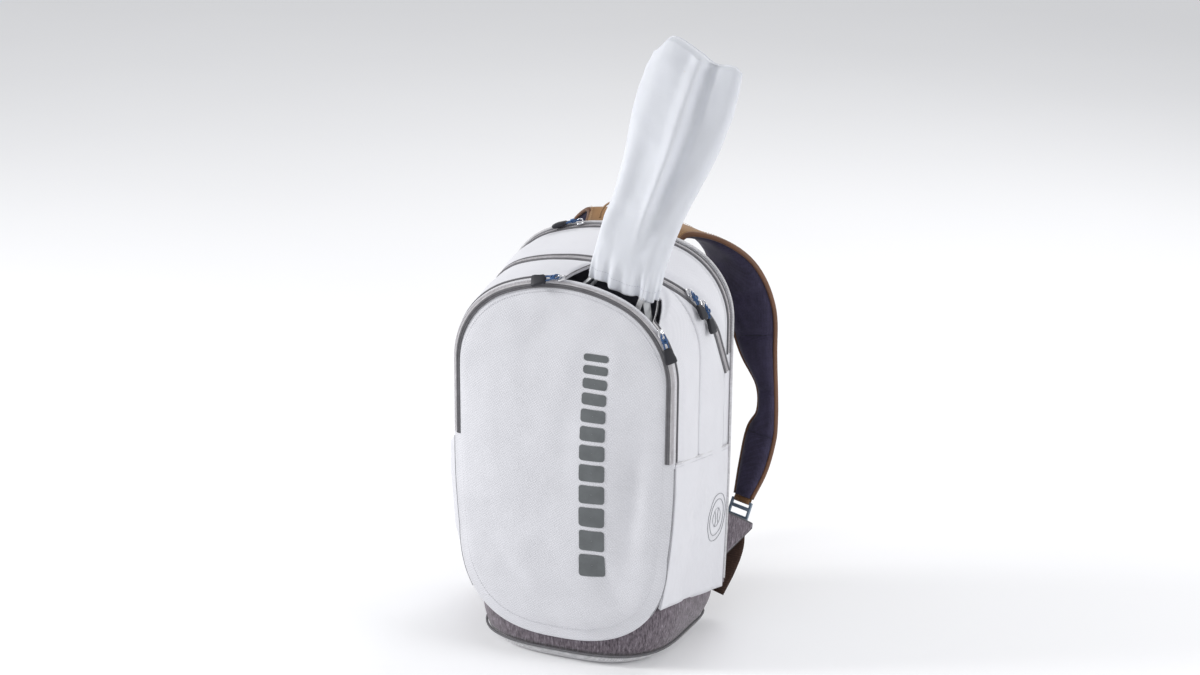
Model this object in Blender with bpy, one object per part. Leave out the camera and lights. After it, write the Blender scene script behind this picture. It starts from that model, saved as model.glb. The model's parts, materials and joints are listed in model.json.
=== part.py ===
"""Racket backpack: a zipped racket pocket, a main and a laptop compartment, padded straps,
and a racket whose handle stands out of the pocket under a fabric cover.

Frame: metres, +Z up, -Y is the front of the bag, +X is to the right seen from the front.
The origin is the centre of the base's resting face.
"""

import math

import bmesh
import bpy
from mathutils import Vector

# ---------------------------------------------------------------- driving dimensions
GAP = 0.0004  # clearance between pieces that touch

FRONT_Y, BACK_Y = -0.102, 0.096  # the gusset's front and back edges
FRONT_HALF_WIDTH, BACK_HALF_WIDTH = 0.150, 0.157
FRONT_TOP, BACK_TOP = 0.510, 0.534  # heights of the arch at its middle
FRONT_CORNER, BACK_CORNER = 0.1135, 0.098  # radii of the shoulders
FRONT_TURN, BACK_TURN = math.radians(23), math.radians(20)  # half angle of the top arc
FRONT_TAPER, BACK_TAPER = 0.038, 0.004  # how much narrower each side is at the bottom
TAPER_START = 0.27
FRONT_BULGE = 0.019  # how far the front face stands out in its middle

WALL = 0.003  # fabric with its foam and lining
PANEL = 0.004
BAND_TOP_FRONT, BAND_TOP_BACK = 0.088, 0.046  # upper edge of the heather band
BASE_TOP = 0.015

DIVIDER_Y = -0.022  # front face of the wall behind the racket pocket
LAPTOP_Y = 0.0663
BACK_PANEL_Y = 0.0863
BACK_PANEL_THICK = 0.010
BACK_FACE_Y = BACK_PANEL_Y + BACK_PANEL_THICK
PAD_THICK = 0.011

ZIP_END = 0.2895  # where the racket pocket's zip stops on each side
MAIN_ZIP_TOP_Y, MAIN_ZIP_SLOPE = -0.030, 0.64  # the main zip runs back as it comes down
MAIN_ZIP_END, LAPTOP_ZIP_END = 0.356, 0.380
TAPE = 0.0014
MOUTH_LEFT, MOUTH_RIGHT, MOUTH_BACK_Y = 0.000, 0.124, -0.050

SEAM_FRONT, SEAM_BACK = 0.2885, 0.252  # top edge of the side pockets

# racket: head centre, unit vector to the butt, and lengths along it from the head centre
HEAD_CENTRE = Vector((-0.003, -0.070, 0.2915))
BUTT_POINT = Vector((0.1527, -0.067, 0.7824))
HEAD_HALF_LENGTH, HEAD_HALF_WIDTH = 0.1665, 0.1215
FRAME_HALF_WIDE, FRAME_HALF_THICK = 0.006, 0.011
GRIP_START, GRIP_END, BUTT_END = 0.335, 0.503, 0.515
HEM, COVER_TOP = 0.222, 0.541
COVER_WALL = 0.0015

HARDWARE_TILT = math.radians(45)  # the racket pocket's sliders face up and forward
RACKET_COIL_Y = FRONT_Y + PANEL + 0.0030
MAIN_ZIP_HIGH = 0.520  # below this the main zip starts to run back
LAPTOP_ZIP_Y = 0.0765
RACKET_LEFT_SLIDER, RACKET_RIGHT_SLIDER = math.radians(-0.5), math.radians(54)
MAIN_UPPER_SLIDER, MAIN_LOWER_SLIDER = math.radians(48), math.radians(60)
LAPTOP_SLIDER = math.radians(-11)
PULL_AXIS_UP, PULL_DROOP = 0.0062, math.radians(8)

FLOOR_HALF_X, FLOOR_FRONT_Y, FLOOR_BACK_Y = 0.128, -0.096, -0.030
FLOOR_LOW, FLOOR_TOP = 0.1060, 0.1220

STRAP_THICK = 0.010
STRAP_TOP_PIVOT = (0.043, 0.107, 0.478)
# the strap pads on the right-hand side: x, y, z, half width, then the way the inner face looks
STRAP_TOP_RIGHT = [(0.043, 0.1070, 0.478, 0.026, 0, 1, 0), (0.046, 0.115, 0.506, 0.022, 0, 0.8, -0.6),
                   (0.062, 0.140, 0.521, 0.023, -0.1, 0.05, -1), (0.093, 0.166, 0.506, 0.031, -0.2, -0.45, -0.85),
                   (0.127, 0.180, 0.463, 0.038, -0.2, -0.9, -0.4)]
STRAP_TOP_LEFT = [(0.040, 0.1070, 0.478, 0.026, 0, 1, 0), (0.038, 0.114, 0.512, 0.022, 0, 0.75, -0.65),
                  (0.041, 0.138, 0.536, 0.021, 0, 0.05, -1), (0.062, 0.165, 0.516, 0.025, -0.12, -0.6, -0.8),
                  (0.101, 0.180, 0.464, 0.029, -0.2, -0.9, -0.5)]
STRAP_KNOTS = [(0.149, 0.187, 0.408, 0.036, -0.15, -1, 0), (0.161, 0.188, 0.352, 0.027, -0.15, -1, 0),
               (0.175, 0.187, 0.305, 0.0145, -0.15, -1, 0), (0.178, 0.184, 0.265, 0.0140, -0.15, -1, 0),
               (0.172, 0.179, 0.235, 0.021, -0.15, -1, 0), (0.166, 0.168, 0.192, 0.0200, -0.15, -1, 0.2),
               (0.158, 0.154, 0.152, 0.0130, -0.15, -1, 0.3)]
STRAP_STEPS = 4
WEB_KNOTS = [(0.155, 0.134, 0.088), (0.149, 0.119, 0.058), (0.140, 0.0985, 0.031)]
WEB_HALF_WIDTH = 0.0125
WING_CORNERS = ((0.177, 0.146, 0.116), (0.153, 0.1000, 0.150), (0.147, 0.1000, 0.082))

HANDLE_Y, HANDLE_HALF, HANDLE_RISE, HANDLE_WEB, HANDLE_FOOT_GAP = 0.0930, 0.030, 0.026, 0.0026, 0.0032

# the cover: distance from the head's centre, half width, half thickness, sideways shift
COVER_KNOTS = [(0.222, 0.0445, 0.022, 0.000), (0.333, 0.049, 0.025, 0.000), (0.400, 0.057, 0.026, 0.002),
               (0.464, 0.061, 0.024, 0.003), (0.541, 0.055, 0.021, 0.002)]


scene = bpy.context.scene


# ---------------------------------------------------------------- general helpers
def clear_scene():
    for obj in list(bpy.data.objects):
        bpy.data.objects.remove(obj)


def material(name, colour, roughness=0.8, metallic=0.0):
    made = bpy.data.materials.get(name)
    if made is None:
        made = bpy.data.materials.new(name)
        made.use_nodes = True
        shader = made.node_tree.nodes["Principled BSDF"]
        shader.inputs["Base Color"].default_value = (*colour, 1)
        shader.inputs["Roughness"].default_value = roughness
        shader.inputs["Metallic"].default_value = metallic
        made.diffuse_color = (*colour, 1)
    return made


def white_fabric():
    return material("white_fabric", (0.80, 0.80, 0.83))


def heather_fabric():
    return material("heather_fabric", (0.17, 0.15, 0.17))


def grey_tape():
    return material("grey_tape", (0.16, 0.16, 0.17))


def navy_mesh():
    return material("navy_mesh", (0.035, 0.035, 0.06))


def tan_leather():
    return material("tan_leather", (0.27, 0.15, 0.07), 0.5)


def brown_webbing():
    return material("brown_webbing", (0.09, 0.04, 0.025), 0.6)


def dark_lining():
    return material("dark_lining", (0.03, 0.03, 0.04))


def bright_metal():
    return material("bright_metal", (0.75, 0.75, 0.76), 0.25, 1.0)


def mix(a, b, t):
    return a + (b - a) * t


def smooth(t):
    t = min(1.0, max(0.0, t))
    return t * t * (3 - 2 * t)


def make(name, points, faces, finish, pivot=None, sharp=40):
    """One named object. Its origin is at pivot, which is on its joint's axis if it moves."""
    pivot = Vector(pivot) if pivot is not None else Vector((0, 0, 0))
    mesh = bpy.data.meshes.new(name)
    mesh.from_pydata([tuple(Vector(p) - pivot) for p in points], [], faces)
    shape = bmesh.new()
    shape.from_mesh(mesh)
    bmesh.ops.recalc_face_normals(shape, faces=shape.faces)
    bmesh.ops.triangulate(shape, faces=[f for f in shape.faces if len(f.verts) > 4])
    shape.to_mesh(mesh)
    shape.free()
    mesh.shade_smooth()
    mesh.set_sharp_from_angle(angle=math.radians(sharp))
    mesh.materials.append(finish)
    obj = bpy.data.objects.new(name, mesh)
    obj.location = pivot
    scene.collection.objects.link(obj)
    return obj


def split_quad(points, quad):
    """Two triangles across the quad's shorter diagonal, so that the layers of a twisted strap agree."""
    a, b, c, d = quad
    if (Vector(points[a]) - Vector(points[c])).length < (Vector(points[b]) - Vector(points[d])).length:
        return [(a, b, c), (a, c, d)]
    return [(a, b, d), (b, c, d)]


def rings_to_solid(name, rings, finish, pivot=None, loop=False, sharp=40, split=False):
    """Joins equal rings of points by quads, or by pairs of triangles when split is set.

    The ends are capped, or joined when loop is set.
    """
    count = len(rings[0])
    points = [p for ring in rings for p in ring]
    faces = []
    pairs = len(rings) if loop else len(rings) - 1
    for i in range(pairs):
        a, b = i * count, ((i + 1) % len(rings)) * count
        for k in range(count):
            n = (k + 1) % count
            if split:
                faces.extend(split_quad(points, (a + k, a + n, b + n, b + k)))
            else:
                faces.append((a + k, a + n, b + n, b + k))
    if not loop:
        faces.append(tuple(range(count)))
        faces.append(tuple(range((len(rings) - 1) * count, len(rings) * count)))
    return make(name, points, faces, finish, pivot, sharp)


def curve_through(knots, steps):
    """Catmull-Rom points through the knots, steps to each span. A knot may be any tuple of numbers."""
    def lerp_all(*terms):
        return tuple(sum(w * k[i] for w, k in terms) for i in range(len(knots[0])))

    padded = [lerp_all((2, knots[0]), (-1, knots[1])), *knots, lerp_all((2, knots[-1]), (-1, knots[-2]))]
    points = []
    for i in range(1, len(padded) - 2):
        p0, p1, p2, p3 = padded[i - 1:i + 3]
        for s in range(steps):
            t = s / steps
            points.append(lerp_all(
                (-0.5 * t + t * t - 0.5 * t ** 3, p0),
                (1 - 2.5 * t * t + 1.5 * t ** 3, p1),
                (0.5 * t + 2 * t * t - 1.5 * t ** 3, p2),
                (-0.5 * t * t + 0.5 * t ** 3, p3),
            ))
    points.append(tuple(knots[-1]))
    return points


# ---------------------------------------------------------------- the bag's surfaces
def depth_share(y):
    return (y - FRONT_Y) / (BACK_Y - FRONT_Y)


def band_top(y):
    return mix(BAND_TOP_FRONT, BAND_TOP_BACK, depth_share(y))


def half_width(y, z):
    """Half width of the bag at depth y and height z, below the shoulders."""
    q = depth_share(y)
    widest = mix(FRONT_HALF_WIDTH, BACK_HALF_WIDTH, q)
    taper = mix(FRONT_TAPER, BACK_TAPER, q)
    t = max(0.0, (TAPER_START - z) / TAPER_START)
    return widest - taper * t * t


def arch(y, low, inset=0.0, side_steps=4, corner_steps=7, top_steps=12):
    """Outline of the bag at depth y, as (x, z) from low on the left over the top to low on the right."""
    q = depth_share(y)
    width = mix(FRONT_HALF_WIDTH, BACK_HALF_WIDTH, q)
    top = mix(FRONT_TOP, BACK_TOP, q)
    corner = mix(FRONT_CORNER, BACK_CORNER, q)
    turn = mix(FRONT_TURN, BACK_TURN, q)
    big = corner + (width - corner) / math.sin(turn)
    centre_z = top - big + (big - corner) * math.cos(turn)
    right = []
    for i in range(top_steps // 2 + 1):
        a = turn * i / (top_steps // 2)
        right.append(((big - inset) * math.sin(a), top - big + (big - inset) * math.cos(a)))
    for i in range(1, corner_steps + 1):
        a = mix(turn, math.pi / 2, i / corner_steps)
        right.append((width - corner + (corner - inset) * math.sin(a),
                      centre_z + (corner - inset) * math.cos(a)))
    for i in range(1, side_steps + 1):
        z = mix(centre_z, low, i / side_steps)
        right.append((half_width(y, z) - inset, z))
    return [(-x, z) for x, z in reversed(right[1:])] + right


def front_face(x, z):
    """Depth of the outer face of the front panel."""
    across = 1 - (x / FRONT_HALF_WIDTH) ** 2
    up = 1 - smooth((z - 0.30) / 0.21)
    return FRONT_Y - FRONT_BULGE * max(0.0, across) * up


def front_panel_outline(inset=0.0):
    """Closed outline of the front panel: the bag's arch above, a wide U below."""
    upper = arch(FRONT_Y, 0.16, inset, side_steps=3)
    start = upper[-1]
    lower = []
    steps = 12
    for i in range(1, steps):
        a = math.pi * i / steps
        lower.append((start[0] * math.copysign(abs(math.cos(a)) ** 0.72, math.cos(a)),
                      start[1] - (start[1] - 0.034 - inset) * math.sin(a) ** 0.85))
    return upper + lower


# ---------------------------------------------------------------- the bag
def mouth_cut(x, z):
    """How far the racket pocket's mouth reaches back from the front edge."""
    middle, half = (MOUTH_LEFT + MOUTH_RIGHT) / 2, (MOUTH_RIGHT - MOUTH_LEFT) / 2
    t = 1 - ((x - middle) / half) ** 2
    if z < 0.42 or t <= 0:
        return 0.0
    return (MOUTH_BACK_Y - FRONT_Y - PANEL) * min(1.0, t * 2.2) ** 0.5


def arch_shell(name, y_front, y_back, thickness, finish, low=None, mouth=False, stations=2):
    """A fabric wall over the bag: it follows the arch and is open below."""
    rings = []
    columns = [mix(y_front, y_back, k / stations) for k in range(stations + 1)]
    outer = [arch(y, low if low is not None else band_top(y) + GAP) for y in columns]
    inner = [arch(y, low if low is not None else band_top(y) + GAP, thickness) for y in columns]
    for i in range(len(outer[0])):
        x, z = outer[0][i]
        cut_back = mouth_cut(x, z) if mouth else 0.0
        section = []
        for k, y in enumerate(columns):
            y = y + cut_back * (1 - k / stations)
            section.append((outer[k][i][0], y, outer[k][i][1]))
        for k, y in reversed(list(enumerate(columns))):
            y = y + cut_back * (1 - k / stations)
            section.append((inner[k][i][0], y, inner[k][i][1]))
        rings.append(section)
    return rings_to_solid(name, rings, finish)


def flat_wall(name, y_front, y_back, finish, inset, low, outline_y=None):
    """An upright padded wall that fills the arch from side to side."""
    outline = arch(outline_y if outline_y is not None else y_front, low, inset)
    rings = [[(x, y, z) for x, z in outline] for y in (y_front, y_back)]
    return rings_to_solid(name, rings, finish)


def dished_panel(name, outline, face, thickness, finish, rounds=(0.25, 0.5, 0.75, 1.0)):
    """A panel over a closed outline whose face follows face(x, z)."""
    middle = sum((Vector(p) for p in outline), Vector((0, 0))) / len(outline)
    front, back = [], []
    for share in rounds:
        ring = [middle + (Vector(p) - middle) * share for p in outline]
        front.append([(p.x, face(p.x, p.y), p.y) for p in ring])
        back.append([(p.x, face(p.x, p.y) + thickness, p.y) for p in ring])
    return rings_to_solid(name, front + back[::-1], finish)


def plan(half_x, y_front, y_back, z, count=40):
    """A level section of the bag low down: round front corners, squarer and wider at the back."""
    middle, half_y = (y_front + y_back) / 2, (y_back - y_front) / 2
    loop = []
    for i in range(count):
        a = 2 * math.pi * i / count
        c, s = math.cos(a), math.sin(a)
        power = 3.0 if s < 0 else 6.0
        y = half_y * math.copysign(abs(s) ** (2 / power), s)
        wide = half_x * mix(0.96, 1.07, 0.5 + 0.5 * y / half_y)
        loop.append((wide * math.copysign(abs(c) ** (2 / power), c), middle + y, z))
    return loop


def band_loop(share, inset, lift=0.0):
    """The heather band's section: share 0 is its lower edge and 1 its slanted upper edge."""
    loop = plan(mix(0.129, 0.141, share) - inset, mix(-0.115, -0.1115, share) + inset,
                mix(0.090, 0.0945, share) - inset, 0)
    low = BASE_TOP + GAP + lift
    return [(x, y, mix(low, band_top(y), share)) for x, y, _ in loop]


def build_base():
    tray = [plan(0.111, -0.106, 0.082, 0.0), plan(0.122, -0.112, 0.088, 0.004),
            plan(0.128, -0.115, 0.090, BASE_TOP)]
    rings_to_solid("base_tray", tray, white_fabric())
    band = [band_loop(0, 0), band_loop(0.5, 0), band_loop(1, 0), band_loop(1, WALL),
            band_loop(0.5, WALL), band_loop(0, WALL, WALL)]
    rings_to_solid("heather_band", band, heather_fabric())
    board = [plan(0.116, -0.100, 0.076, z) for z in (0.0192, 0.0222)]
    rings_to_solid("base_board", board, dark_lining())


def build_walls():
    dished_panel("front_panel", front_panel_outline(), front_face, PANEL, white_fabric())
    arch_shell("racket_pocket_gusset", FRONT_Y + PANEL + GAP, DIVIDER_Y - GAP, WALL,
               white_fabric(), mouth=True, stations=3)
    flat_wall("racket_pocket_divider", DIVIDER_Y - 0.006, DIVIDER_Y - GAP, dark_lining(),
              WALL + 2 * GAP, 0.096, FRONT_Y)
    arch_shell("main_gusset", DIVIDER_Y, LAPTOP_Y - GAP, WALL, white_fabric())
    flat_wall("laptop_divider", LAPTOP_Y - 0.005, LAPTOP_Y - GAP, dark_lining(),
              WALL + 4 * GAP, 0.075, DIVIDER_Y)
    arch_shell("laptop_gusset", LAPTOP_Y, BACK_PANEL_Y - GAP, WALL, white_fabric(), stations=1)
    flat_wall("back_panel", BACK_PANEL_Y, BACK_FACE_Y, heather_fabric(), 0.0005, 0.0505)


def build_pocket_floor():
    """Foam floor of the racket pocket, which the tip of the racket's head stands on."""
    rings = [[(x, y, z) for x, y in ((-FLOOR_HALF_X, FLOOR_FRONT_Y), (FLOOR_HALF_X, FLOOR_FRONT_Y),
                                     (FLOOR_HALF_X, FLOOR_BACK_Y), (-FLOOR_HALF_X, FLOOR_BACK_Y))]
             for z in (FLOOR_LOW, FLOOR_TOP)]
    rings_to_solid("racket_pocket_floor", rings, dark_lining())


def build_lower_side_panels():
    """The plain panels below the slanted side seams, laid over the gussets."""
    y_front, y_back = FRONT_Y + PANEL + GAP, BACK_PANEL_Y - 0.0045
    for side, name in ((-1, "lower_side_panel_left"), (1, "lower_side_panel_right")):
        sections = []
        columns, rows = 8, 6
        for i in range(columns + 1):
            y = mix(y_front, y_back, i / columns)
            bottom = band_top(y) + 2 * GAP
            top = mix(SEAM_FRONT, SEAM_BACK, i / columns)
            heights = [mix(bottom, top, k / rows) for k in range(rows + 1)]
            inner = [(side * (half_width(y, z) + 2.5 * GAP), y, z) for z in heights]
            outer = [(side * (half_width(y, z) + 2.5 * GAP + 0.0025), y, z) for z in heights]
            sections.append(inner + outer[::-1])
        rings_to_solid(name, sections, white_fabric())


# ---------------------------------------------------------------- zips
def main_zip_y(z):
    return MAIN_ZIP_TOP_Y + MAIN_ZIP_SLOPE * max(0.0, MAIN_ZIP_HIGH - z)


def ribbon(name, offset, width, low, finish, centre_y, part=(0.0, 1.0)):
    """A tape lying on the gusset. centre_y(x, z) is its middle, shifted by offset along Y."""
    guide = arch(0.0, low)
    first, last = round(part[0] * (len(guide) - 1)), round(part[1] * (len(guide) - 1))
    rings = []
    for i in range(first, last + 1):
        y = centre_y(*guide[i]) + offset
        ring = []
        for edge, lift in ((-1, GAP), (1, GAP), (1, GAP + TAPE), (-1, GAP + TAPE)):
            x, z = arch(y + edge * width / 2, low, -lift)[i]
            ring.append((x, y + edge * width / 2, z))
        rings.append(ring)
    rings_to_solid(name, rings, finish)


def build_zip(prefix, low, centre_y, coil_parts, coil_width=0.0052, edge_width=0.0034):
    """Two grey edges and the white coil between them."""
    shift = (coil_width + edge_width) / 2 + GAP
    for name, side in (("front", -1), ("rear", 1)):
        ribbon(f"{prefix}_zip_{name}_edge", side * shift, edge_width, low, grey_tape(), centre_y)
    for suffix, part in coil_parts:
        ribbon(f"{prefix}_zip_coil{suffix}", 0, coil_width, low, white_fabric(), centre_y, part)


def build_racket_zip():
    """A broad grey edge on the front panel, the coil on the gusset beside it, parted at the mouth."""
    rings = []
    outer, inner = arch(FRONT_Y, ZIP_END, 0.0004), arch(FRONT_Y, ZIP_END, 0.0085)
    for (xo, zo), (xi, zi) in zip(outer, inner):
        rings.append([(xo, front_face(xo, zo) - GAP, zo), (xi, front_face(xi, zi) - GAP, zi),
                      (xi, front_face(xi, zi) - GAP - TAPE, zi), (xo, front_face(xo, zo) - GAP - TAPE, zo)])
    rings_to_solid("racket_zip_front_edge", rings, grey_tape())

    def along_edge(x, z):
        return RACKET_COIL_Y + mouth_cut(x, z)

    for suffix, part in (("_left", (0.0, 0.49)), ("_right", (0.745, 1.0))):
        ribbon(f"racket_zip_coil{suffix}", 0, 0.0052, ZIP_END, white_fabric(),
               lambda x, z: RACKET_COIL_Y, part)
    ribbon("racket_zip_rear_edge", 0.0050, 0.0034, ZIP_END, grey_tape(), along_edge)


def arch_sizes(y):
    """Width to the corner's centre, corner radius, height of the corner's centre, turn, big radius, top."""
    q = depth_share(y)
    width = mix(FRONT_HALF_WIDTH, BACK_HALF_WIDTH, q)
    top = mix(FRONT_TOP, BACK_TOP, q)
    corner = mix(FRONT_CORNER, BACK_CORNER, q)
    turn = mix(FRONT_TURN, BACK_TURN, q)
    big = corner + (width - corner) / math.sin(turn)
    return width - corner, corner, top - big + (big - corner) * math.cos(turn), turn, big, top


def arch_point(y, angle, lift=0.0):
    """Point and outward direction on the arch at an angle from straight up, positive to the right."""
    x0, corner, z0, turn, big, top = arch_sizes(y)
    side, a = math.copysign(1, angle), abs(angle)
    outward = Vector((side * math.sin(a), 0, math.cos(a)))
    if a <= turn:
        return Vector((0, y, top - big)) + outward * (big + lift), outward
    return Vector((side * x0, y, z0)) + outward * (corner + lift), outward


def slider_seats():
    """Where each slider stands: its base point, the way its pull leads, and the way it faces."""
    seats = {}
    lift = 0.0030

    def edge_seat(angle, lead):
        point, outward = arch_point(FRONT_Y, angle)
        faces = (outward * math.cos(HARDWARE_TILT) - Vector((0, 1, 0)) * math.sin(HARDWARE_TILT))
        point = point + Vector((0, 0.0015, 0)) + faces * lift
        lead = (lead - faces * lead.dot(faces)).normalized()
        return point, lead, faces

    def down(angle):
        return Vector((math.copysign(math.cos(angle), angle), 0, -math.sin(abs(angle))))

    seats["racket_left"] = edge_seat(RACKET_LEFT_SLIDER, Vector((-1, 0, -0.35)))
    seats["racket_right"] = edge_seat(RACKET_RIGHT_SLIDER, down(RACKET_RIGHT_SLIDER) + Vector((0, -0.25, -0.25)))
    for name, angle in (("main_upper", MAIN_UPPER_SLIDER), ("main_lower", MAIN_LOWER_SLIDER)):
        guide, _ = arch_point(0.0, angle)
        point, outward = arch_point(main_zip_y(guide.z), angle, lift)
        lead = down(angle) + Vector((0, -0.15, 0))
        seats[name] = (point, (lead - outward * lead.dot(outward)).normalized(), outward)
    point, outward = arch_point(LAPTOP_ZIP_Y, LAPTOP_SLIDER, lift)
    seats["laptop"] = (point, down(LAPTOP_SLIDER), outward)
    return seats


def local_ring(centre, u, v, half_u, half_v, count=12, power=4.0):
    ring = []
    for i in range(count):
        a = 2 * math.pi * (i + 0.5) / count
        c, s = math.cos(a), math.sin(a)
        ring.append(centre + u * (half_u * math.copysign(abs(c) ** (2 / power), c))
                    + v * (half_v * math.copysign(abs(s) ** (2 / power), s)))
    return ring


def build_slider(name, base, lead, faces):
    """A zip slider: its body on the coil and the low bridge that holds the pull."""
    across = faces.cross(lead)
    stack = ((0.0, 4.5, 4.0), (0.0024, 4.5, 4.0), (0.0034, 3.6, 3.2), (0.0036, 2.0, 1.4), (0.0070, 1.8, 1.2))
    rings = [local_ring(base + faces * up, lead, across, a / 1000, b / 1000) for up, a, b in stack]
    rings_to_solid(f"{name}_slider", rings, bright_metal(), pivot=base)


def build_pull(name, base, lead, faces):
    """A cord loop knotted to the slider's bridge, with a moulded grip at its end."""
    hinge = base + faces * PULL_AXIS_UP
    across = faces.cross(lead)
    away = (lead * math.cos(PULL_DROOP) - faces * math.sin(PULL_DROOP)).normalized()
    up = across.cross(away).normalized() * -1
    cord = [local_ring(hinge + away * d, across, up, w, 0.0012, 8, 2.0)
            for d, w in ((0.0034, 0.0014), (0.008, 0.0026), (0.011, 0.0016), (0.0165, 0.0024), (0.0200, 0.0020))]
    rings_to_solid(f"{name}_pull_cord", cord, material("blue_cord", (0.03, 0.09, 0.24), 0.6), pivot=hinge)
    grip = [local_ring(hinge + away * d, across, up, w, t, 12, 5.0)
            for d, w, t in ((0.0204, 0.0034, 0.0018), (0.022, 0.0042, 0.0024), (0.036, 0.0048, 0.0026),
                            (0.0385, 0.0042, 0.0020))]
    rings_to_solid(f"{name}_pull_grip", grip, material("black_rubber", (0.012, 0.012, 0.02), 0.55), pivot=hinge)


def build_zips():
    build_racket_zip()
    build_zip("main", MAIN_ZIP_END, lambda x, z: main_zip_y(z), (("", (0.0, 1.0)),))
    build_zip("laptop", LAPTOP_ZIP_END, lambda x, z: LAPTOP_ZIP_Y, (("", (0.0, 1.0)),), 0.0036, 0.0026)
    for name, seat in slider_seats().items():
        build_slider(name, *seat)
        build_pull(name, *seat)


def build_piping():
    """Round piping around the base, and over the bag's back edge."""
    loop = plan(0.1312, -0.1182, 0.0932, BASE_TOP)
    rings = []
    middle = Vector((0, -0.0125, BASE_TOP))
    for p in loop:
        p = Vector(p)
        out = (p - middle).normalized()
        rings.append([p + out * (0.0018 * math.cos(a)) + Vector((0, 0, 0.0018 * math.sin(a)))
                      for a in (math.pi * k / 3 for k in range(6))])
    rings_to_solid("base_piping", rings, grey_tape(), loop=True)
    y = BACK_PANEL_Y - 0.0010
    rings = []
    outline = arch(y, 0.060)
    for i, (x, z) in enumerate(outline):
        outer = Vector((arch(y, 0.060, -0.0026)[i][0], y, arch(y, 0.060, -0.0026)[i][1]))
        out = (outer - Vector((x, y, z))).normalized()
        rings.append([outer + out * (0.0018 * math.cos(a)) + Vector((0, 0.0018 * math.sin(a), 0))
                      for a in (math.pi * k / 3 for k in range(6))])
    rings_to_solid("back_edge_piping", rings, white_fabric())


# ---------------------------------------------------------------- the back and the straps
def pad(name, x0, x1, z0, z1, y_front, thick, finish, corner=0.022):
    """A padded panel on the back, with rounded corners and a crowned rear face."""
    cx, cz = (x0 + x1) / 2, (z0 + z1) / 2
    hx, hz = (x1 - x0) / 2, (z1 - z0) / 2
    outline = []
    for quarter in range(4):
        ox = (hx - corner) * (1 if quarter in (0, 3) else -1)
        oz = (hz - corner) * (1 if quarter in (0, 1) else -1)
        for k in range(5):
            a = math.pi / 2 * (quarter + k / 4)
            outline.append((ox + corner * math.cos(a), oz + corner * math.sin(a)))
    levels = ((1.0, 0.0), (1.0, 0.55), (0.95, 0.85), (0.84, 1.0))
    rings = [[(cx + x * s, y_front + thick * t, cz + z * s) for x, z in outline] for s, t in levels]
    rings_to_solid(name, rings, finish)


def strap_stations(side):
    """Centre, half width, and frame (along, across, inner-face normal) down the strap pad."""
    top = STRAP_TOP_RIGHT if side > 0 else STRAP_TOP_LEFT
    knots = [(side * x, y, z, w, side * fx, fy, fz) for x, y, z, w, fx, fy, fz in top + STRAP_KNOTS]
    points = curve_through(knots, STRAP_STEPS)
    stations = []
    for i, (x, y, z, w, *face) in enumerate(points):
        before, after = points[max(0, i - 1)], points[min(len(points) - 1, i + 1)]
        along = (Vector(after[:3]) - Vector(before[:3])).normalized()
        normal = (Vector(face) - along * along.dot(face)).normalized()
        stations.append((Vector((x, y, z)), w, along, normal.cross(along), normal))
    return stations


def build_strap(side, word):
    stations = strap_stations(side)
    pivot = STRAP_TOP_PIVOT[0] * side, *STRAP_TOP_PIVOT[1:]
    layers = (("shoulder_strap", navy_mesh(), 0.80, 1, 0.0010, STRAP_THICK),
              ("strap_cover", tan_leather(), 1.0, -1, -0.0026, -0.0010))
    for name, finish, rounding, hand, near, far in layers:
        rings = []
        for centre, w, _, across, normal in stations:
            reach = across * (w * hand)
            rings.append([centre + reach + normal * near,
                          centre + reach + normal * mix(near, far, 0.6),
                          centre + reach * rounding + normal * far,
                          centre - reach * rounding + normal * far,
                          centre - reach + normal * mix(near, far, 0.6),
                          centre - reach + normal * near])
        rings_to_solid(f"{name}_{word}", rings, finish, pivot=pivot, split=True)


def lock_frame(side):
    """Centre and frame of the ladder lock below a strap's end."""
    centre, _, along, across, normal = strap_stations(side)[-1]
    return centre + along * 0.0185, along, across, normal


def build_ladder_lock(side, word):
    """A plate with a bar across each end and one in the middle, and a lip to lift it by."""
    centre, along, across, normal = lock_frame(side)
    columns = (-0.0155, -0.0125, 0.0125, 0.0155)
    rows = (-0.0130, -0.0100, -0.0055, -0.0015, 0.0040, 0.0075, 0.0130)
    holes = {(1, 1), (1, 3)}
    half = 0.0020
    points, faces = [], []
    index = {}

    def corner(i, k, level):
        key = (i, k, level)
        if key not in index:
            index[key] = len(points)
            points.append(centre + across * columns[i] + along * rows[k] + normal * half * level)
        return index[key]

    cells = {(i, k) for i in range(3) for k in range(6)} - holes
    for i, k in sorted(cells):
        for level in (-1, 1):
            faces.append([corner(i, k, level), corner(i + 1, k, level),
                          corner(i + 1, k + 1, level), corner(i, k + 1, level)])
        for near, a, b in (((i - 1, k), (i, k), (i, k + 1)), ((i + 1, k), (i + 1, k), (i + 1, k + 1)),
                           ((i, k - 1), (i, k), (i + 1, k)), ((i, k + 1), (i, k + 1), (i + 1, k + 1))):
            if near not in cells:
                faces.append([corner(*a, -1), corner(*b, -1), corner(*b, 1), corner(*a, 1)])
    pivot = centre + along * rows[0]
    make(f"ladder_lock_{word}", points, faces, material("buckle_plastic", (0.16, 0.21, 0.27), 0.4), pivot)


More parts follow.
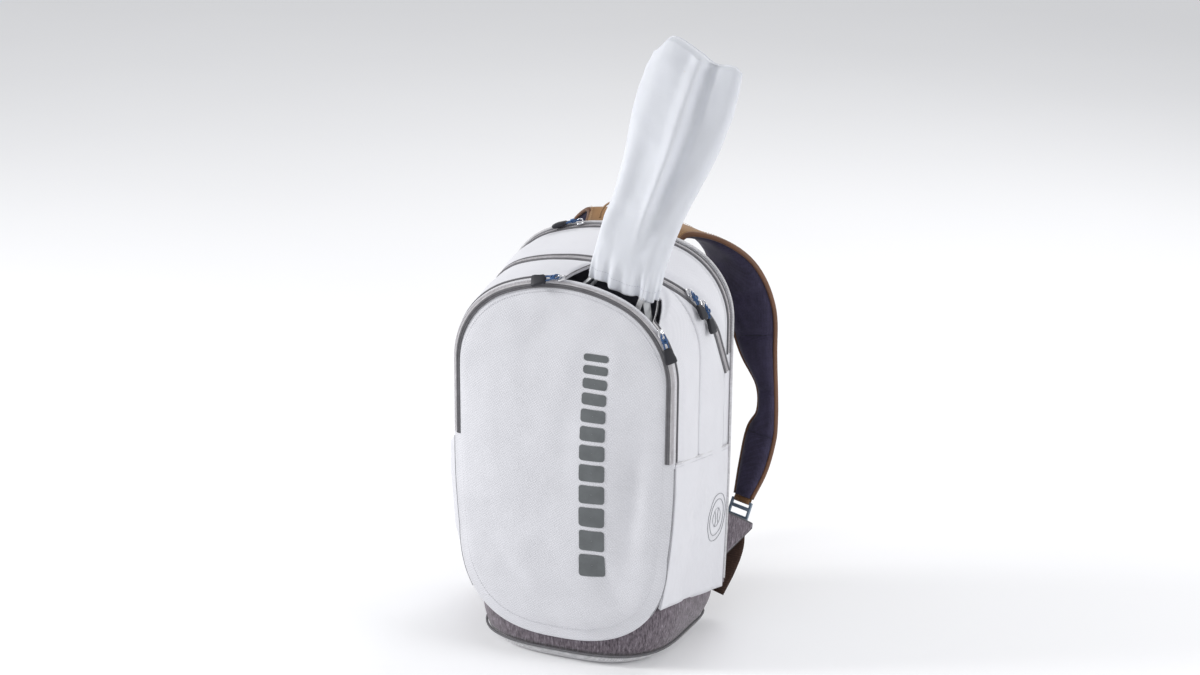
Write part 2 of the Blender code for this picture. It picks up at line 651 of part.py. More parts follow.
def build_webbing(side, word):
    """The adjusting web from the ladder lock down to the bag's lower corner."""
    centre, along, across, normal = lock_frame(side)
    start = centre + along * 0.0190
    points = curve_through([tuple(start), *[(side * x, y, z) for x, y, z in WEB_KNOTS]], 4)
    rings = []
    for i, p in enumerate(points):
        p = Vector(p)
        before, after = Vector(points[max(0, i - 1)]), Vector(points[min(len(points) - 1, i + 1)])
        tangent = (after - before).normalized()
        wide = across.lerp(Vector((1, 0, 0)) * (1 if across.x > 0 else -1), i / (len(points) - 1))
        wide = (wide - tangent * wide.dot(tangent)).normalized()
        thin = tangent.cross(wide)
        rings.append([p + wide * (a * WEB_HALF_WIDTH) + thin * (b * 0.0008)
                      for a, b in ((1, 1), (-1, 1), (-1, -1), (1, -1))])
    rings_to_solid(f"strap_webbing_{word}", rings, brown_webbing(),
                   pivot=(STRAP_TOP_PIVOT[0] * side, *STRAP_TOP_PIVOT[1:]))


def build_wing(side, word):
    """The heather gusset that carries the web's lower end: a triangle sewn into the back edge."""
    tip, high, low = (Vector((side * x, y, z)) for x, y, z in WING_CORNERS)
    rings = []
    for t in (0.0, 0.5, 1.0):
        a, b = high.lerp(tip, t * 0.86), low.lerp(tip, t * 0.86)
        thin = Vector((1, 0, 0)) * 0.0012
        rings.append([a + thin, b + thin, b - thin, a - thin])
    rings_to_solid(f"strap_wing_{word}", rings, heather_fabric())


def build_back():
    for side, word in ((-1, "left"), (1, "right")):
        x0, x1 = sorted((side * 0.012, side * 0.112))
        pad(f"back_pad_{word}", x0, x1, 0.105, 0.440, BACK_FACE_Y + GAP, PAD_THICK, navy_mesh())
        build_strap(side, word)
        build_ladder_lock(side, word)
        build_webbing(side, word)
        build_wing(side, word)
    pad("strap_yoke", -0.085, 0.085, 0.450, 0.469, BACK_FACE_Y + GAP, 0.0028, tan_leather(), corner=0.008)
    build_grab_handle()


def build_grab_handle():
    """A web loop standing on the bag's top behind the zips."""
    foot_z = arch_point(HANDLE_Y, 0)[0].z + HANDLE_FOOT_GAP
    steps = 16
    rings = []
    for i in range(steps + 1):
        a = math.pi * i / steps
        c, s = math.cos(a), math.sin(a)
        middle = Vector((HANDLE_HALF * c, HANDLE_Y, foot_z + HANDLE_RISE * s))
        out = Vector((c / HANDLE_HALF, 0, s / HANDLE_RISE)).normalized()
        rings.append([middle + out * (u * 0.0012) + Vector((0, v * HANDLE_WEB, 0))
                      for u, v in ((1, -1), (1, 1), (-1, 1), (-1, -1))])
    rings_to_solid("grab_handle", rings, tan_leather(), pivot=(0, HANDLE_Y, foot_z))


# ---------------------------------------------------------------- the racket and its cover
def racket_frame_axes():
    along = (BUTT_POINT - HEAD_CENTRE).normalized()
    across = Vector((1, 0, 0))
    across = (across - along * across.dot(along)).normalized()
    return along, across, across.cross(along)


def at(distance, x=0.0, y=0.0):
    """A point in the racket's own frame: distance from the head's centre towards the butt."""
    along, across, out = racket_frame_axes()
    return HEAD_CENTRE + along * distance + across * x + out * y


def unite(target, tools):
    """Unions hidden solids into the target."""
    for tool in tools:
        tool.hide_render = True
        tool.display_type = "WIRE"
        joint = target.modifiers.new(f"join_{tool.name}", "BOOLEAN")
        joint.operation = "UNION"
        joint.object = tool


def tube(name, spine, half_wide, half_thick, finish, loop=False, count=8):
    """A tube along points in the racket's plane, wide across that plane's run and thick through it."""
    _, _, out = racket_frame_axes()
    rings = []
    total = len(spine)
    for i, p in enumerate(spine):
        before = spine[i - 1] if loop or i else spine[0]
        after = spine[(i + 1) % total] if loop or i < total - 1 else spine[-1]
        tangent = (after - before).normalized()
        side = tangent.cross(out).normalized()
        wide = half_wide[i] if isinstance(half_wide, list) else half_wide
        thick = half_thick[i] if isinstance(half_thick, list) else half_thick
        rings.append([p + side * (wide * math.cos(2 * math.pi * (k + 0.5) / count))
                      + out * (thick * math.sin(2 * math.pi * (k + 0.5) / count)) for k in range(count)])
    return rings_to_solid(name, rings, finish, loop=loop)


def build_racket():
    white = material("racket_white", (0.75, 0.76, 0.78), 0.25)
    steps = 40
    hoop = [at(HEAD_HALF_LENGTH * math.cos(2 * math.pi * i / steps),
               HEAD_HALF_WIDTH * math.sin(2 * math.pi * i / steps)) for i in range(steps)]
    frame = tube("racket_frame", hoop, FRAME_HALF_WIDE, FRAME_HALF_THICK, white, loop=True)
    tools = []
    for side in (-1, 1):
        knots = [(0.128, side * 0.082), (0.165, side * 0.061), (0.221, side * 0.0320), (0.262, side * 0.0140),
                 (0.290, side * 0.0070)]
        spine = [at(*p) for p in curve_through(knots, 3)]
        tools.append(tube(f"throat_arm_{'left' if side < 0 else 'right'}", spine, 0.0065, 0.0108, white))
    shaft = [at(d) for d in (0.272, 0.300, GRIP_START - GAP)]
    tools.append(tube("shaft", shaft, [0.0125, 0.0145, 0.0145], [0.0112, 0.0118, 0.0118], white))
    unite(frame, tools)

    along, across, out = racket_frame_axes()
    bed_count = 32
    half_thick = 0.0010
    inner_long = HEAD_HALF_LENGTH - FRAME_HALF_WIDE - 0.0006
    inner_wide = HEAD_HALF_WIDTH - FRAME_HALF_WIDE - 0.0006
    rings = [[at(inner_long * math.cos(2 * math.pi * k / bed_count),
                 inner_wide * math.sin(2 * math.pi * k / bed_count), y) for k in range(bed_count)]
             for y in (-half_thick, half_thick)]
    rings_to_solid("string_bed", rings, material("string_white", (0.7, 0.7, 0.66), 0.4))

    grip = [[at(d, r * 1.06 * math.cos(math.pi * (k + 0.5) / 4), r * math.sin(math.pi * (k + 0.5) / 4))
             for k in range(8)] for d, r in ((GRIP_START, 0.0155), (GRIP_END, 0.0165))]
    rings_to_solid("racket_grip", grip, material("grip_wrap", (0.02, 0.02, 0.02), 0.8))
    cap = [[at(d, r * 1.06 * math.cos(math.pi * (k + 0.5) / 4), r * math.sin(math.pi * (k + 0.5) / 4))
            for k in range(8)] for d, r in ((GRIP_END + GAP, 0.0170), (0.511, 0.0190), (BUTT_END, 0.0175))]
    rings_to_solid("racket_butt_cap", cap, material("cap_white", (0.7, 0.7, 0.72), 0.35))


def cover_section(distance):
    """Half width, half thickness and sideways shift of the cover at a distance from the head's centre."""
    knots = COVER_KNOTS
    for (d0, *a), (d1, *b) in zip(knots, knots[1:]):
        if d0 <= distance <= d1:
            t = (distance - d0) / (d1 - d0)
            return [mix(u, v, smooth(t)) for u, v in zip(a, b)]
    return list(knots[-1][1:])


def build_cover():
    """A flat sleeve over the handle: open at its hem, closed over the butt."""
    count = 24

    def ring(distance, inset):
        half_wide, half_thick, shift = cover_section(distance)
        loop = []
        for k in range(count):
            a = 2 * math.pi * k / count
            c, s = math.cos(a), math.sin(a)
            loop.append(at(distance, shift + (half_wide - inset) * math.copysign(abs(c) ** 0.8, c),
                           (half_thick - inset) * math.copysign(abs(s) ** 0.8, s)))
        return loop

    heights = [mix(HEM, COVER_TOP - 0.006, i / 12) for i in range(13)]
    inner = [ring(min(d, COVER_TOP - 0.009), COVER_WALL) for d in reversed(heights)]
    outer = [ring(d, 0) for d in heights] + [ring(COVER_TOP, 0.004)]
    rings_to_solid("handle_cover", inner + outer, material("cover_fabric", (0.74, 0.76, 0.82), 0.7),
                   pivot=at(HEM))
    half_wide, half_thick, shift = cover_section(HEM)
    tape = [[at(d, shift + half_wide - 0.010 + e * 0.004, half_thick - back + t * 0.0005)
             for e, t in ((1, 1), (-1, 1), (-1, -1), (1, -1))]
            for d, back in ((HEM - GAP, 0.0015), (HEM - 0.022, 0.003), (HEM - 0.045, 0.005))]
    rings_to_solid("cover_tether", tape, white_fabric(), pivot=at(HEM))


clear_scene()
build_base()
build_walls()
build_pocket_floor()
build_lower_side_panels()
build_zips()
build_piping()
build_back()
build_racket()
build_cover()
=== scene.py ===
"""Racket backpack: the fine surfaces, materials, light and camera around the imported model.

Metres, +Z up, -Y the front of the bag. The bag's arch, zips, straps and racket follow the same
driving dimensions as the model, so that every piece lies where the solid it stands for lies.
"""

import json
import math

import bmesh
import bpy
import numpy as np
from mathutils import Matrix, Vector, noise


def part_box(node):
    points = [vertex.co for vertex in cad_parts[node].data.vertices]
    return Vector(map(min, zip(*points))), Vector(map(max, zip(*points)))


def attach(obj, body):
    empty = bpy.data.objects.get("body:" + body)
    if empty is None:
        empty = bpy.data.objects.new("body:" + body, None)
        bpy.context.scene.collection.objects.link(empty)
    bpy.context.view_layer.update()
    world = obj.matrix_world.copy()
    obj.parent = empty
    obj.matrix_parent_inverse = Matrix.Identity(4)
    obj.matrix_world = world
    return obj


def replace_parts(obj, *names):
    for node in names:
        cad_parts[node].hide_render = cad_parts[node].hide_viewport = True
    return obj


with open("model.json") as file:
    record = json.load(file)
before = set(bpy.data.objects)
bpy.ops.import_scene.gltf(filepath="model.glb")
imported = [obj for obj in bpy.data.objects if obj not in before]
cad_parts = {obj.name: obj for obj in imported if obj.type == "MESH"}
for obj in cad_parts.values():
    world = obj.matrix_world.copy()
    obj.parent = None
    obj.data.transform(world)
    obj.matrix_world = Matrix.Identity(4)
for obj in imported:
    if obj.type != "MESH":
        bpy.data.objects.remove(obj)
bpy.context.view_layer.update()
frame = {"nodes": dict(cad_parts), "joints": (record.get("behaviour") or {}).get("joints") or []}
nodes = frame["nodes"]
scene = bpy.context.scene

# ---------------------------------------------------------------- the bag's driving dimensions
FRONT_Y, BACK_Y = -0.102, 0.096
FRONT_HALF_WIDTH, BACK_HALF_WIDTH = 0.150, 0.157
FRONT_TOP, BACK_TOP = 0.510, 0.534
FRONT_CORNER, BACK_CORNER = 0.1135, 0.098
FRONT_TURN, BACK_TURN = math.radians(23), math.radians(20)
FRONT_TAPER, BACK_TAPER = 0.038, 0.004
TAPER_START = 0.27
FRONT_BULGE = 0.019
PANEL = 0.004
BAND_TOP_FRONT, BAND_TOP_BACK = 0.088, 0.046
BASE_TOP = 0.015
DIVIDER_Y, LAPTOP_Y, BACK_PANEL_Y, BACK_FACE_Y = -0.022, 0.0663, 0.0863, 0.0963
ZIP_END, MAIN_ZIP_END, LAPTOP_ZIP_END = 0.2895, 0.356, 0.380
MAIN_ZIP_TOP_Y, MAIN_ZIP_SLOPE, MAIN_ZIP_HIGH = -0.030, 0.64, 0.520
LAPTOP_ZIP_Y = 0.0765
RACKET_COIL_Y = FRONT_Y + PANEL + 0.0030
MOUTH_LEFT, MOUTH_RIGHT, MOUTH_BACK_Y = 0.000, 0.124, -0.050
SEAM_FRONT, SEAM_BACK = 0.2885, 0.252

HEAD_CENTRE = Vector((-0.003, -0.070, 0.2915))
BUTT_POINT = Vector((0.1527, -0.067, 0.7824))
HEAD_HALF_LENGTH, HEAD_HALF_WIDTH = 0.1665, 0.1215
GRIP_START, GRIP_END = 0.335, 0.503
HEM = 0.222


# coil, front edge and rear edge widths of the two gusset zips
MAIN_ZIP_WIDTHS, LAPTOP_ZIP_WIDTHS = (0.0062, 0.0062, 0.0054), (0.0042, 0.0034, 0.0028)
MOUTH_START, MOUTH_END = -0.012, 0.492  # the mouth's ends as shares of the arch
PANEL_JOIN, PANEL_LOW = 0.16, 0.034  # heights where the front panel's U begins and ends
HIDDEN_WALLS = ("base_board", "racket_pocket_divider", "laptop_divider", "racket_pocket_floor")
SLIDERS = ("racket_left", "racket_right", "main_upper", "main_lower", "laptop")


# ---------------------------------------------------------------- small helpers
def mix(a, b, t):
    return a + (b - a) * t


def smooth(t):
    t = np.clip(t, 0.0, 1.0)
    return t * t * (3 - 2 * t)


def signed_power(value, power):
    """value raised to a power with its sign kept; it squares off or pinches a circle."""
    return math.copysign(abs(value) ** power, value)


def around(count):
    """Angle, cosine and sine at equal steps round a circle."""
    for k in range(count):
        a = 2 * math.pi * k / count
        yield a, math.cos(a), math.sin(a)


def fuzz(x, y, z, scale, seed=0.0):
    """Smooth noise from -1 to 1 at a point; scale is in bumps to the metre."""
    return noise.noise(Vector((x * scale + seed, y * scale - seed * 0.7, z * scale + seed * 1.3)))


def new_object(name, points, faces, finish, body="bag", sharp=None):
    mesh = bpy.data.meshes.new(name)
    mesh.from_pydata([tuple(p) for p in points], [], faces)
    shape = bmesh.new()
    shape.from_mesh(mesh)
    bmesh.ops.recalc_face_normals(shape, faces=shape.faces)
    shape.to_mesh(mesh)
    shape.free()
    mesh.shade_smooth()
    if sharp is not None:
        mesh.set_sharp_from_angle(angle=math.radians(sharp))
    mesh.materials.append(finish[0])
    obj = bpy.data.objects.new(name, mesh)
    scene.collection.objects.link(obj)
    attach(obj, body)
    return obj


def grid(name, rows, finish, body="bag", wrap=False, closed=False, sharp=None, caps=False):
    """A surface over rows of points. wrap joins each row's ends, closed joins the last row to the first."""
    count = len(rows[0])
    points = [p for row in rows for p in row]
    faces = []
    for i in range(len(rows) if closed else len(rows) - 1):
        a, b = i * count, ((i + 1) % len(rows)) * count
        for k in range(count if wrap else count - 1):
            n = (k + 1) % count
            faces.append((a + k, a + n, b + n, b + k))
    if caps:
        faces.append(tuple(range(count)))
        faces.append(tuple(range((len(rows) - 1) * count, len(rows) * count)))
    return new_object(name, points, faces, finish, body, sharp)


def thicken(obj, thickness, offset=-1.0):
    solid = obj.modifiers.new("thickness", "SOLIDIFY")
    solid.thickness = thickness
    solid.offset = offset
    return obj


def curve_through(knots, steps):
    """Catmull-Rom points through the knots, steps to each span."""
    knots = [np.array(k, float) for k in knots]
    padded = [2 * knots[0] - knots[1], *knots, 2 * knots[-1] - knots[-2]]
    points = []
    for i in range(1, len(padded) - 2):
        p0, p1, p2, p3 = padded[i - 1:i + 3]
        for s in range(steps):
            t = s / steps
            points.append(0.5 * (2 * p1 + (p2 - p0) * t + (2 * p0 - 5 * p1 + 4 * p2 - p3) * t * t
                                 + (3 * p1 - p0 - 3 * p2 + p3) * t ** 3))
    points.append(knots[-1])
    return points


def tube(name, spine, radius, finish, body="bag", count=10, closed=False, flat=1.0, up=None):
    """A round cord along points. radius may be one value or one for each point."""
    spine = [Vector(p) for p in spine]
    total = len(spine)
    rows = []
    side = None
    for i, p in enumerate(spine):
        before = spine[i - 1] if closed or i else spine[0]
        after = spine[(i + 1) % total] if closed or i < total - 1 else spine[-1]
        run = (after - before).normalized()
        if side is None:
            guess = Vector(up) if up is not None else (Vector((0, 0, 1))
                                                       if abs(run.z) < 0.9 else Vector((1, 0, 0)))
            side = run.cross(guess).normalized()
        side = (side - run * side.dot(run)).normalized()
        over = side.cross(run)
        r = radius[i] if isinstance(radius, (list, tuple)) else radius
        rows.append([p + side * (r * math.cos(2 * math.pi * k / count))
                     + over * (r * flat * math.sin(2 * math.pi * k / count)) for k in range(count)])
    return grid(name, rows, finish, body, wrap=True, closed=closed, caps=not closed)


def stitches(name, path, finish, body="bag", pitch=0.0036, length=0.0023, radius=0.00034):
    """A row of short thread stitches lying along a path of points."""
    path = [Vector(p) for p in path]
    points, faces = [], []
    travelled = pitch / 2
    for a, b in zip(path, path[1:]):
        run = b - a
        span = run.length
        run.normalize()
        side = run.cross(Vector((0.3, 0.5, 0.8))).normalized()
        over = side.cross(run)
        while travelled < span:
            centre = a + run * travelled
            base = len(points)
            for along, wide in ((-0.5, 0.45), (-0.3, 1.0), (0.3, 1.0), (0.5, 0.45)):
                for k in range(5):
                    turn = 2 * math.pi * k / 5
                    points.append(centre + run * (along * length)
                                  + (side * math.cos(turn) + over * math.sin(turn)) * (radius * wide))
            for ring in range(3):
                for k in range(5):
                    n = (k + 1) % 5
                    faces.append((base + 5 * ring + k, base + 5 * ring + n, base + 5 * ring + 5 + n, base
                                  + 5 * ring + 5 + k))
            faces.append(tuple(base + k for k in range(5)))
            faces.append(tuple(base + 15 + k for k in range(5)))
            travelled += pitch
        travelled -= span
    return new_object(name, points, faces, finish, body)


def joined(name, objects):
    """Joins pieces that share a body and a material into one object."""
    first = objects[0]
    with bpy.context.temp_override(active_object=first, selected_editable_objects=objects,
                                   selected_objects=objects, object=first):
        bpy.ops.object.join()
    first.name = name
    first.data.name = name
    return first


# ---------------------------------------------------------------- materials
class Finish:
    """A Principled material being wired up, with short calls for the nodes that the finishes share."""

    def __init__(self, name, colour, roughness=0.8, metallic=0.0, sheen=0.0, coat=0.0, specular=0.5):
        self.mat = bpy.data.materials.new(name)
        self.mat.use_nodes = True
        self.tree = self.mat.node_tree
        self.shader = self.tree.nodes["Principled BSDF"]
        self.put("Base Color", (*colour, 1))
        self.put("Roughness", roughness)
        self.put("Metallic", metallic)
        self.put("Sheen Weight", sheen)
        self.put("Coat Weight", coat)
        self.put("Specular IOR Level", specular)
        self.coords = self.node("ShaderNodeTexCoord").outputs["Object"]
        self.height = None

    def put(self, socket, value):
        self.shader.inputs[socket].default_value = value

    def node(self, kind, **settings):
        made = self.tree.nodes.new(kind)
        for key, value in settings.items():
            if key in made.inputs:
                made.inputs[key].default_value = value
            else:
                setattr(made, key, value)
        return made

    def link(self, a, b):
        self.tree.links.new(a, b)

    def mapped(self, rotation=(0, 0, 0), scale=(1, 1, 1)):
        m = self.node("ShaderNodeMapping")
        m.inputs["Rotation"].default_value = rotation
        m.inputs["Scale"].default_value = scale
        self.link(self.coords, m.inputs["Vector"])
        return m.outputs["Vector"]

    def noise(self, scale, detail=3.0, stretch=(1, 1, 1), rotation=(0, 0, 0)):
        n = self.node("ShaderNodeTexNoise", Scale=scale, Detail=detail)
        self.link(self.mapped(rotation, stretch), n.inputs["Vector"])
        return n.outputs["Fac"]

    def wave(self, period, direction, rotation=(0, 0, 0), distortion=0.0):
        w = self.node("ShaderNodeTexWave", Scale=0.314 / period, Distortion=distortion)
        w.bands_direction = direction
        self.link(self.mapped(rotation), w.inputs["Vector"])
        return w.outputs["Fac"]

    def maths(self, operation, a, b):
        m = self.node("ShaderNodeMath", operation=operation)
        for socket, value in zip(m.inputs, (a, b)):
            if isinstance(value, (int, float)):
                socket.default_value = value
            else:
                self.link(value, socket)
        return m.outputs[0]

    def ramp(self, factor, stops):
        r = self.node("ShaderNodeValToRGB")
        r.color_ramp.elements[0].position = stops[0][0]
        r.color_ramp.elements[0].color = (*stops[0][1], 1)
        r.color_ramp.elements[1].position = stops[-1][0]
        r.color_ramp.elements[1].color = (*stops[-1][1], 1)
        for position, colour in stops[1:-1]:
            r.color_ramp.elements.new(position).color = (*colour, 1)
        self.link(factor, r.inputs["Fac"])
        return r.outputs["Color"]

    def colour(self, output):
        self.link(output, self.shader.inputs["Base Color"])

    def rough(self, factor, low, high):
        m = self.node("ShaderNodeMapRange")
        m.inputs["To Min"].default_value = low
        m.inputs["To Max"].default_value = high
        self.link(factor, m.inputs["Value"])
        self.link(m.outputs["Result"], self.shader.inputs["Roughness"])

    def bump(self, height, distance, strength=1.0):
        b = self.node("ShaderNodeBump")
        b.inputs["Strength"].default_value = strength
        b.inputs["Distance"].default_value = distance
        self.link(height, b.inputs["Height"])
        if self.height is not None:
            self.link(self.height, b.inputs["Normal"])
        self.height = b.outputs["Normal"]
        self.link(self.height, self.shader.inputs["Normal"])


def canvas(name, colour, period=0.0027, depth=0.0004, contrast=0.88):
    """White bag cloth: a diagonal canvas weave, faintly mottled."""
    f = Finish(name, colour, 0.82, sheen=0.2, specular=0.3)
    diagonal = (0, math.radians(38), math.radians(20))
    weave = f.maths("MULTIPLY", f.wave(period, "X", diagonal), f.wave(period, "Z", diagonal))
    shade = f.maths("ADD", f.maths("MULTIPLY", f.noise(22, 4), 0.55), f.maths("MULTIPLY", weave, 0.45))
    f.colour(f.ramp(shade, [(0.20, tuple(c * contrast for c in colour)), (0.55, colour)]))
    f.rough(weave, 0.74, 0.9)
    f.bump(weave, depth, 0.8)
    f.bump(f.noise(160, 3), 0.0003, 0.35)
    return f.mat


def heather(name):
    """Mauve-grey melange: light and dark slubs drawn out along the yarn."""
    f = Finish(name, (0.15, 0.13, 0.15), 0.9, sheen=0.3, specular=0.25)
    slub = f.noise(420, 3, (1.0, 1.0, 0.26))
    fleck = f.noise(900, 2, (1.0, 1.0, 0.35))
    tone = f.maths("ADD", f.maths("MULTIPLY", slub, 0.65), f.maths("MULTIPLY", fleck, 0.35))
    f.colour(f.ramp(tone, [(0.36, (0.058, 0.046, 0.056)), (0.48, (0.125, 0.104, 0.122)),
                           (0.58, (0.185, 0.156, 0.182)), (0.70, (0.32, 0.285, 0.32))]))
    weave = f.maths("MULTIPLY", f.wave(0.0013, "X"), f.wave(0.0013, "Z"))
    f.bump(f.maths("ADD", f.maths("MULTIPLY", slub, 0.6), weave), 0.0004, 0.6)
    return f.mat


def ribbed(name, colour, period=0.0009, axis="Y", contrast=0.75, roughness=0.7, depth=0.0002):
    """Woven tape or webbing with fine ribs."""
    f = Finish(name, colour, roughness, sheen=0.15, specular=0.35)
    ribs = f.wave(period, axis)
    cross = f.wave(period * 1.7, "Z")
    weave = f.maths("MULTIPLY", ribs, cross)
    worn = f.noise(120, 4)
    tone = f.maths("ADD", f.maths("MULTIPLY", weave, 0.4), f.maths("MULTIPLY", worn, 0.6))
    f.colour(f.ramp(tone, [(0.25, tuple(c * contrast for c in colour)),
                           (0.7, tuple(min(1, c * 1.18) for c in colour))]))
    f.bump(weave, depth, 0.7)
    return f.mat


def mesh_cloth(name, colour):
    """Spacer mesh of the padded faces: small round pits in rows."""
    f = Finish(name, colour, 0.8, sheen=0.12, specular=0.3)
    f.put("Sheen Roughness", 0.5)
    pits = f.node("ShaderNodeTexVoronoi", Scale=480.0, Randomness=0.25)
    f.link(f.mapped(), pits.inputs["Vector"])
    pit = pits.outputs["Distance"]
    tone = f.maths("ADD", f.maths("MULTIPLY", pit, 0.5), f.maths("MULTIPLY", f.noise(60, 3), 0.6))
    f.colour(f.ramp(tone, [(0.25, tuple(c * 0.6 for c in colour)), (0.75, tuple(c * 1.55 for c in colour))]))
    f.bump(pit, 0.0005, 0.5)
    return f.mat


def grained(name, colour, roughness=0.5):
    """Tan strap cloth with a leathery grain, its tone varying in soft random clouds."""
    f = Finish(name, colour, roughness, specular=0.45)
    grain = f.node("ShaderNodeTexVoronoi", Scale=620.0, Randomness=1.0)
    f.link(f.mapped(), grain.inputs["Vector"])
    cloud = f.noise(45, 5)
    f.colour(f.ramp(cloud, [(0.3, tuple(c * 0.84 for c in colour)), (0.52, colour),
                            (0.75, tuple(min(1, c * 1.14) for c in colour))]))
    f.rough(cloud, roughness - 0.08, roughness + 0.14)
    f.bump(grain.outputs["Distance"], 0.0003, 0.55)
    f.bump(f.noise(260, 4), 0.0003, 0.3)
    return f.mat


def moulded(name, colour, roughness, metallic=0.0, coat=0.0, speck=900):
    """Plastic, rubber, paint or metal with a fine moulded or brushed texture and uneven gloss."""
    f = Finish(name, colour, roughness, metallic, coat=coat)
    patch = f.noise(70, 5)
    f.colour(f.ramp(patch, [(0.3, tuple(c * 0.86 for c in colour)),
                            (0.7, tuple(min(1, c * 1.08) for c in colour))]))
    f.rough(patch, max(0.02, roughness - 0.08), roughness + 0.1)
    f.bump(f.noise(speck, 3), 0.00012, 0.35)
    return f.mat


def thin_cloth(name, colour):
    """The racket cover: thin, slightly see-through plain weave."""
    f = Finish(name, colour, 0.7, sheen=0.2, specular=0.3)
    f.put("Subsurface Weight", 0.25)
    f.put("Subsurface Radius", (0.006, 0.006, 0.007))
    f.put("Subsurface Scale", 0.6)
    weave = f.maths("MULTIPLY", f.wave(0.0014, "X"), f.wave(0.0014, "Z"))
    cloud = f.noise(18, 4)
    f.colour(f.ramp(cloud, [(0.3, tuple(c * 0.95 for c in colour)), (0.65, colour)]))
    f.bump(weave, 0.00012, 0.4)
    f.bump(f.noise(70, 4, (1, 1, 0.35)), 0.0009, 0.35)
    return f.mat


WHITE = (canvas("white_canvas", (0.70, 0.70, 0.735)), "white_fabric")
PLAIN_WHITE = (canvas("white_side_cloth", (0.70, 0.70, 0.735), 0.0019, 0.0002, 0.93), "white_fabric")
THREAD = (moulded("white_thread", (0.62, 0.62, 0.65), 0.6), "white_fabric")
TAN_THREAD = (moulded("tan_thread", (0.42, 0.27, 0.13), 0.6), "tan_leather")
PIPING_WHITE = (ribbed("white_piping", (0.66, 0.655, 0.67), 0.0012), "white_fabric")
PALE_EDGE = (ribbed("pale_grey_edge", (0.33, 0.33, 0.35), 0.0012), "grey_tape")
HEATHER = (heather("heather_weave"), "heather_fabric")
GREY_TAPE = (ribbed("grey_zip_tape", (0.135, 0.132, 0.142), 0.0011), "grey_tape")
# dark tape: the wing's rim binding, and also the painted shade laid in the racket edge's groove
DARK_TAPE = (ribbed("dark_zip_tape", (0.075, 0.073, 0.08), 0.0011), "grey_tape")
ZIP_WHITE = (ribbed("white_zip_tape", (0.60, 0.585, 0.60), 0.0010), "white_tape")
COIL = (moulded("zip_coil", (0.52, 0.50, 0.52), 0.4), "white_tape")
NAVY = (mesh_cloth("navy_mesh", (0.031, 0.026, 0.055)), "navy_mesh")
# darker navy of the cross seams' tucks: painted shade in the grooves
NAVY_SEAM_SHADE = (ribbed("navy_seam_shade", (0.018, 0.018, 0.034), 0.0010), "navy_mesh")
TAN = (grained("tan_strap_cloth", (0.30, 0.165, 0.072)), "tan_leather")
BROWN_EDGE = (grained("brown_binding", (0.135, 0.058, 0.026), 0.45), "tan_leather")
WEBBING = (ribbed("brown_webbing", (0.060, 0.028, 0.018), 0.0014, "Z", 0.6, 0.6, 0.0004), "brown_webbing")
TAN_WEB = (ribbed("tan_webbing", (0.26, 0.13, 0.05), 0.0014, "Z", 0.6, 0.55, 0.0004), "brown_webbing")
LINING = (ribbed("dark_lining", (0.15, 0.148, 0.19), 0.0010, "X"), "dark_lining")
METAL = (moulded("polished_metal", (0.78, 0.78, 0.80), 0.22, 1.0), "bright_metal")
CORD = (ribbed("blue_cord", (0.035, 0.115, 0.30), 0.0012, "Z", 0.45, 0.5, 0.0004), "blue_cord")
RUBBER = (moulded("black_rubber", (0.009, 0.009, 0.015), 0.55), "black_rubber")
BUCKLE = (moulded("buckle_plastic", (0.17, 0.225, 0.29), 0.38), "buckle_plastic")
PAINT = (moulded("racket_paint", (0.75, 0.76, 0.78), 0.22, coat=0.5), "racket_white")
PAINT_DARK = (moulded("racket_dark_paint", (0.02, 0.022, 0.03), 0.3, coat=0.4), "racket_white")
STRING = (moulded("racket_string", (0.68, 0.68, 0.62), 0.35), "strings")
GRIP = (grained("grip_wrap", (0.022, 0.022, 0.024), 0.7), "grip_wrap")
CAP = (moulded("cap_plastic", (0.7, 0.7, 0.72), 0.35), "cap_white")
COVER = (thin_cloth("cover_cloth", (0.71, 0.73, 0.79)), "cover_fabric")
COVER_THREAD = (moulded("cover_thread", (0.50, 0.52, 0.58), 0.6), "cover_fabric")
PRINT = (moulded("grey_print", (0.115, 0.125, 0.13), 0.45), "grey_tape")
PRINT_THIN = (moulded("pale_grey_print", (0.30, 0.31, 0.33), 0.5), "grey_tape")


# ---------------------------------------------------------------- the bag's outline
def depth_share(y):
    return (y - FRONT_Y) / (BACK_Y - FRONT_Y)


def band_top(y):
    return mix(BAND_TOP_FRONT, BAND_TOP_BACK, depth_share(y))


def half_width(y, z):
    q = depth_share(y)
    t = max(0.0, (TAPER_START - z) / TAPER_START)
    return mix(FRONT_HALF_WIDTH, BACK_HALF_WIDTH, q) - mix(FRONT_TAPER, BACK_TAPER, q) * t * t


def arch_sizes(y):
    q = depth_share(y)
    width, top = mix(FRONT_HALF_WIDTH, BACK_HALF_WIDTH, q), mix(FRONT_TOP, BACK_TOP, q)
    corner, turn = mix(FRONT_CORNER, BACK_CORNER, q), mix(FRONT_TURN, BACK_TURN, q)
    big = corner + (width - corner) / math.sin(turn)
    return width - corner, corner, top - big + (big - corner) * math.cos(turn), turn, big, top


def arch_point(y, s, low, inset=0.0):
    """Point on the bag's arch: s runs -1 .. 1 from low on the left over the top to low on the right."""
    x0, corner, z0, turn, big, top = arch_sizes(y)
    lengths = (big * turn, corner * (math.pi / 2 - turn), z0 - low)
    run = abs(s) * sum(lengths)
    side = 1 if s >= 0 else -1
    if run <= lengths[0]:
        a = run / big
        return side * (big - inset) * math.sin(a), top - big + (big - inset) * math.cos(a)
    if run <= lengths[0] + lengths[1]:
        a = turn + (run - lengths[0]) / corner
        return side * (x0 + (corner - inset) * math.sin(a)), z0 + (corner - inset) * math.cos(a)
    z = z0 - (run - lengths[0] - lengths[1])
    return side * (half_width(y, z) - inset), z


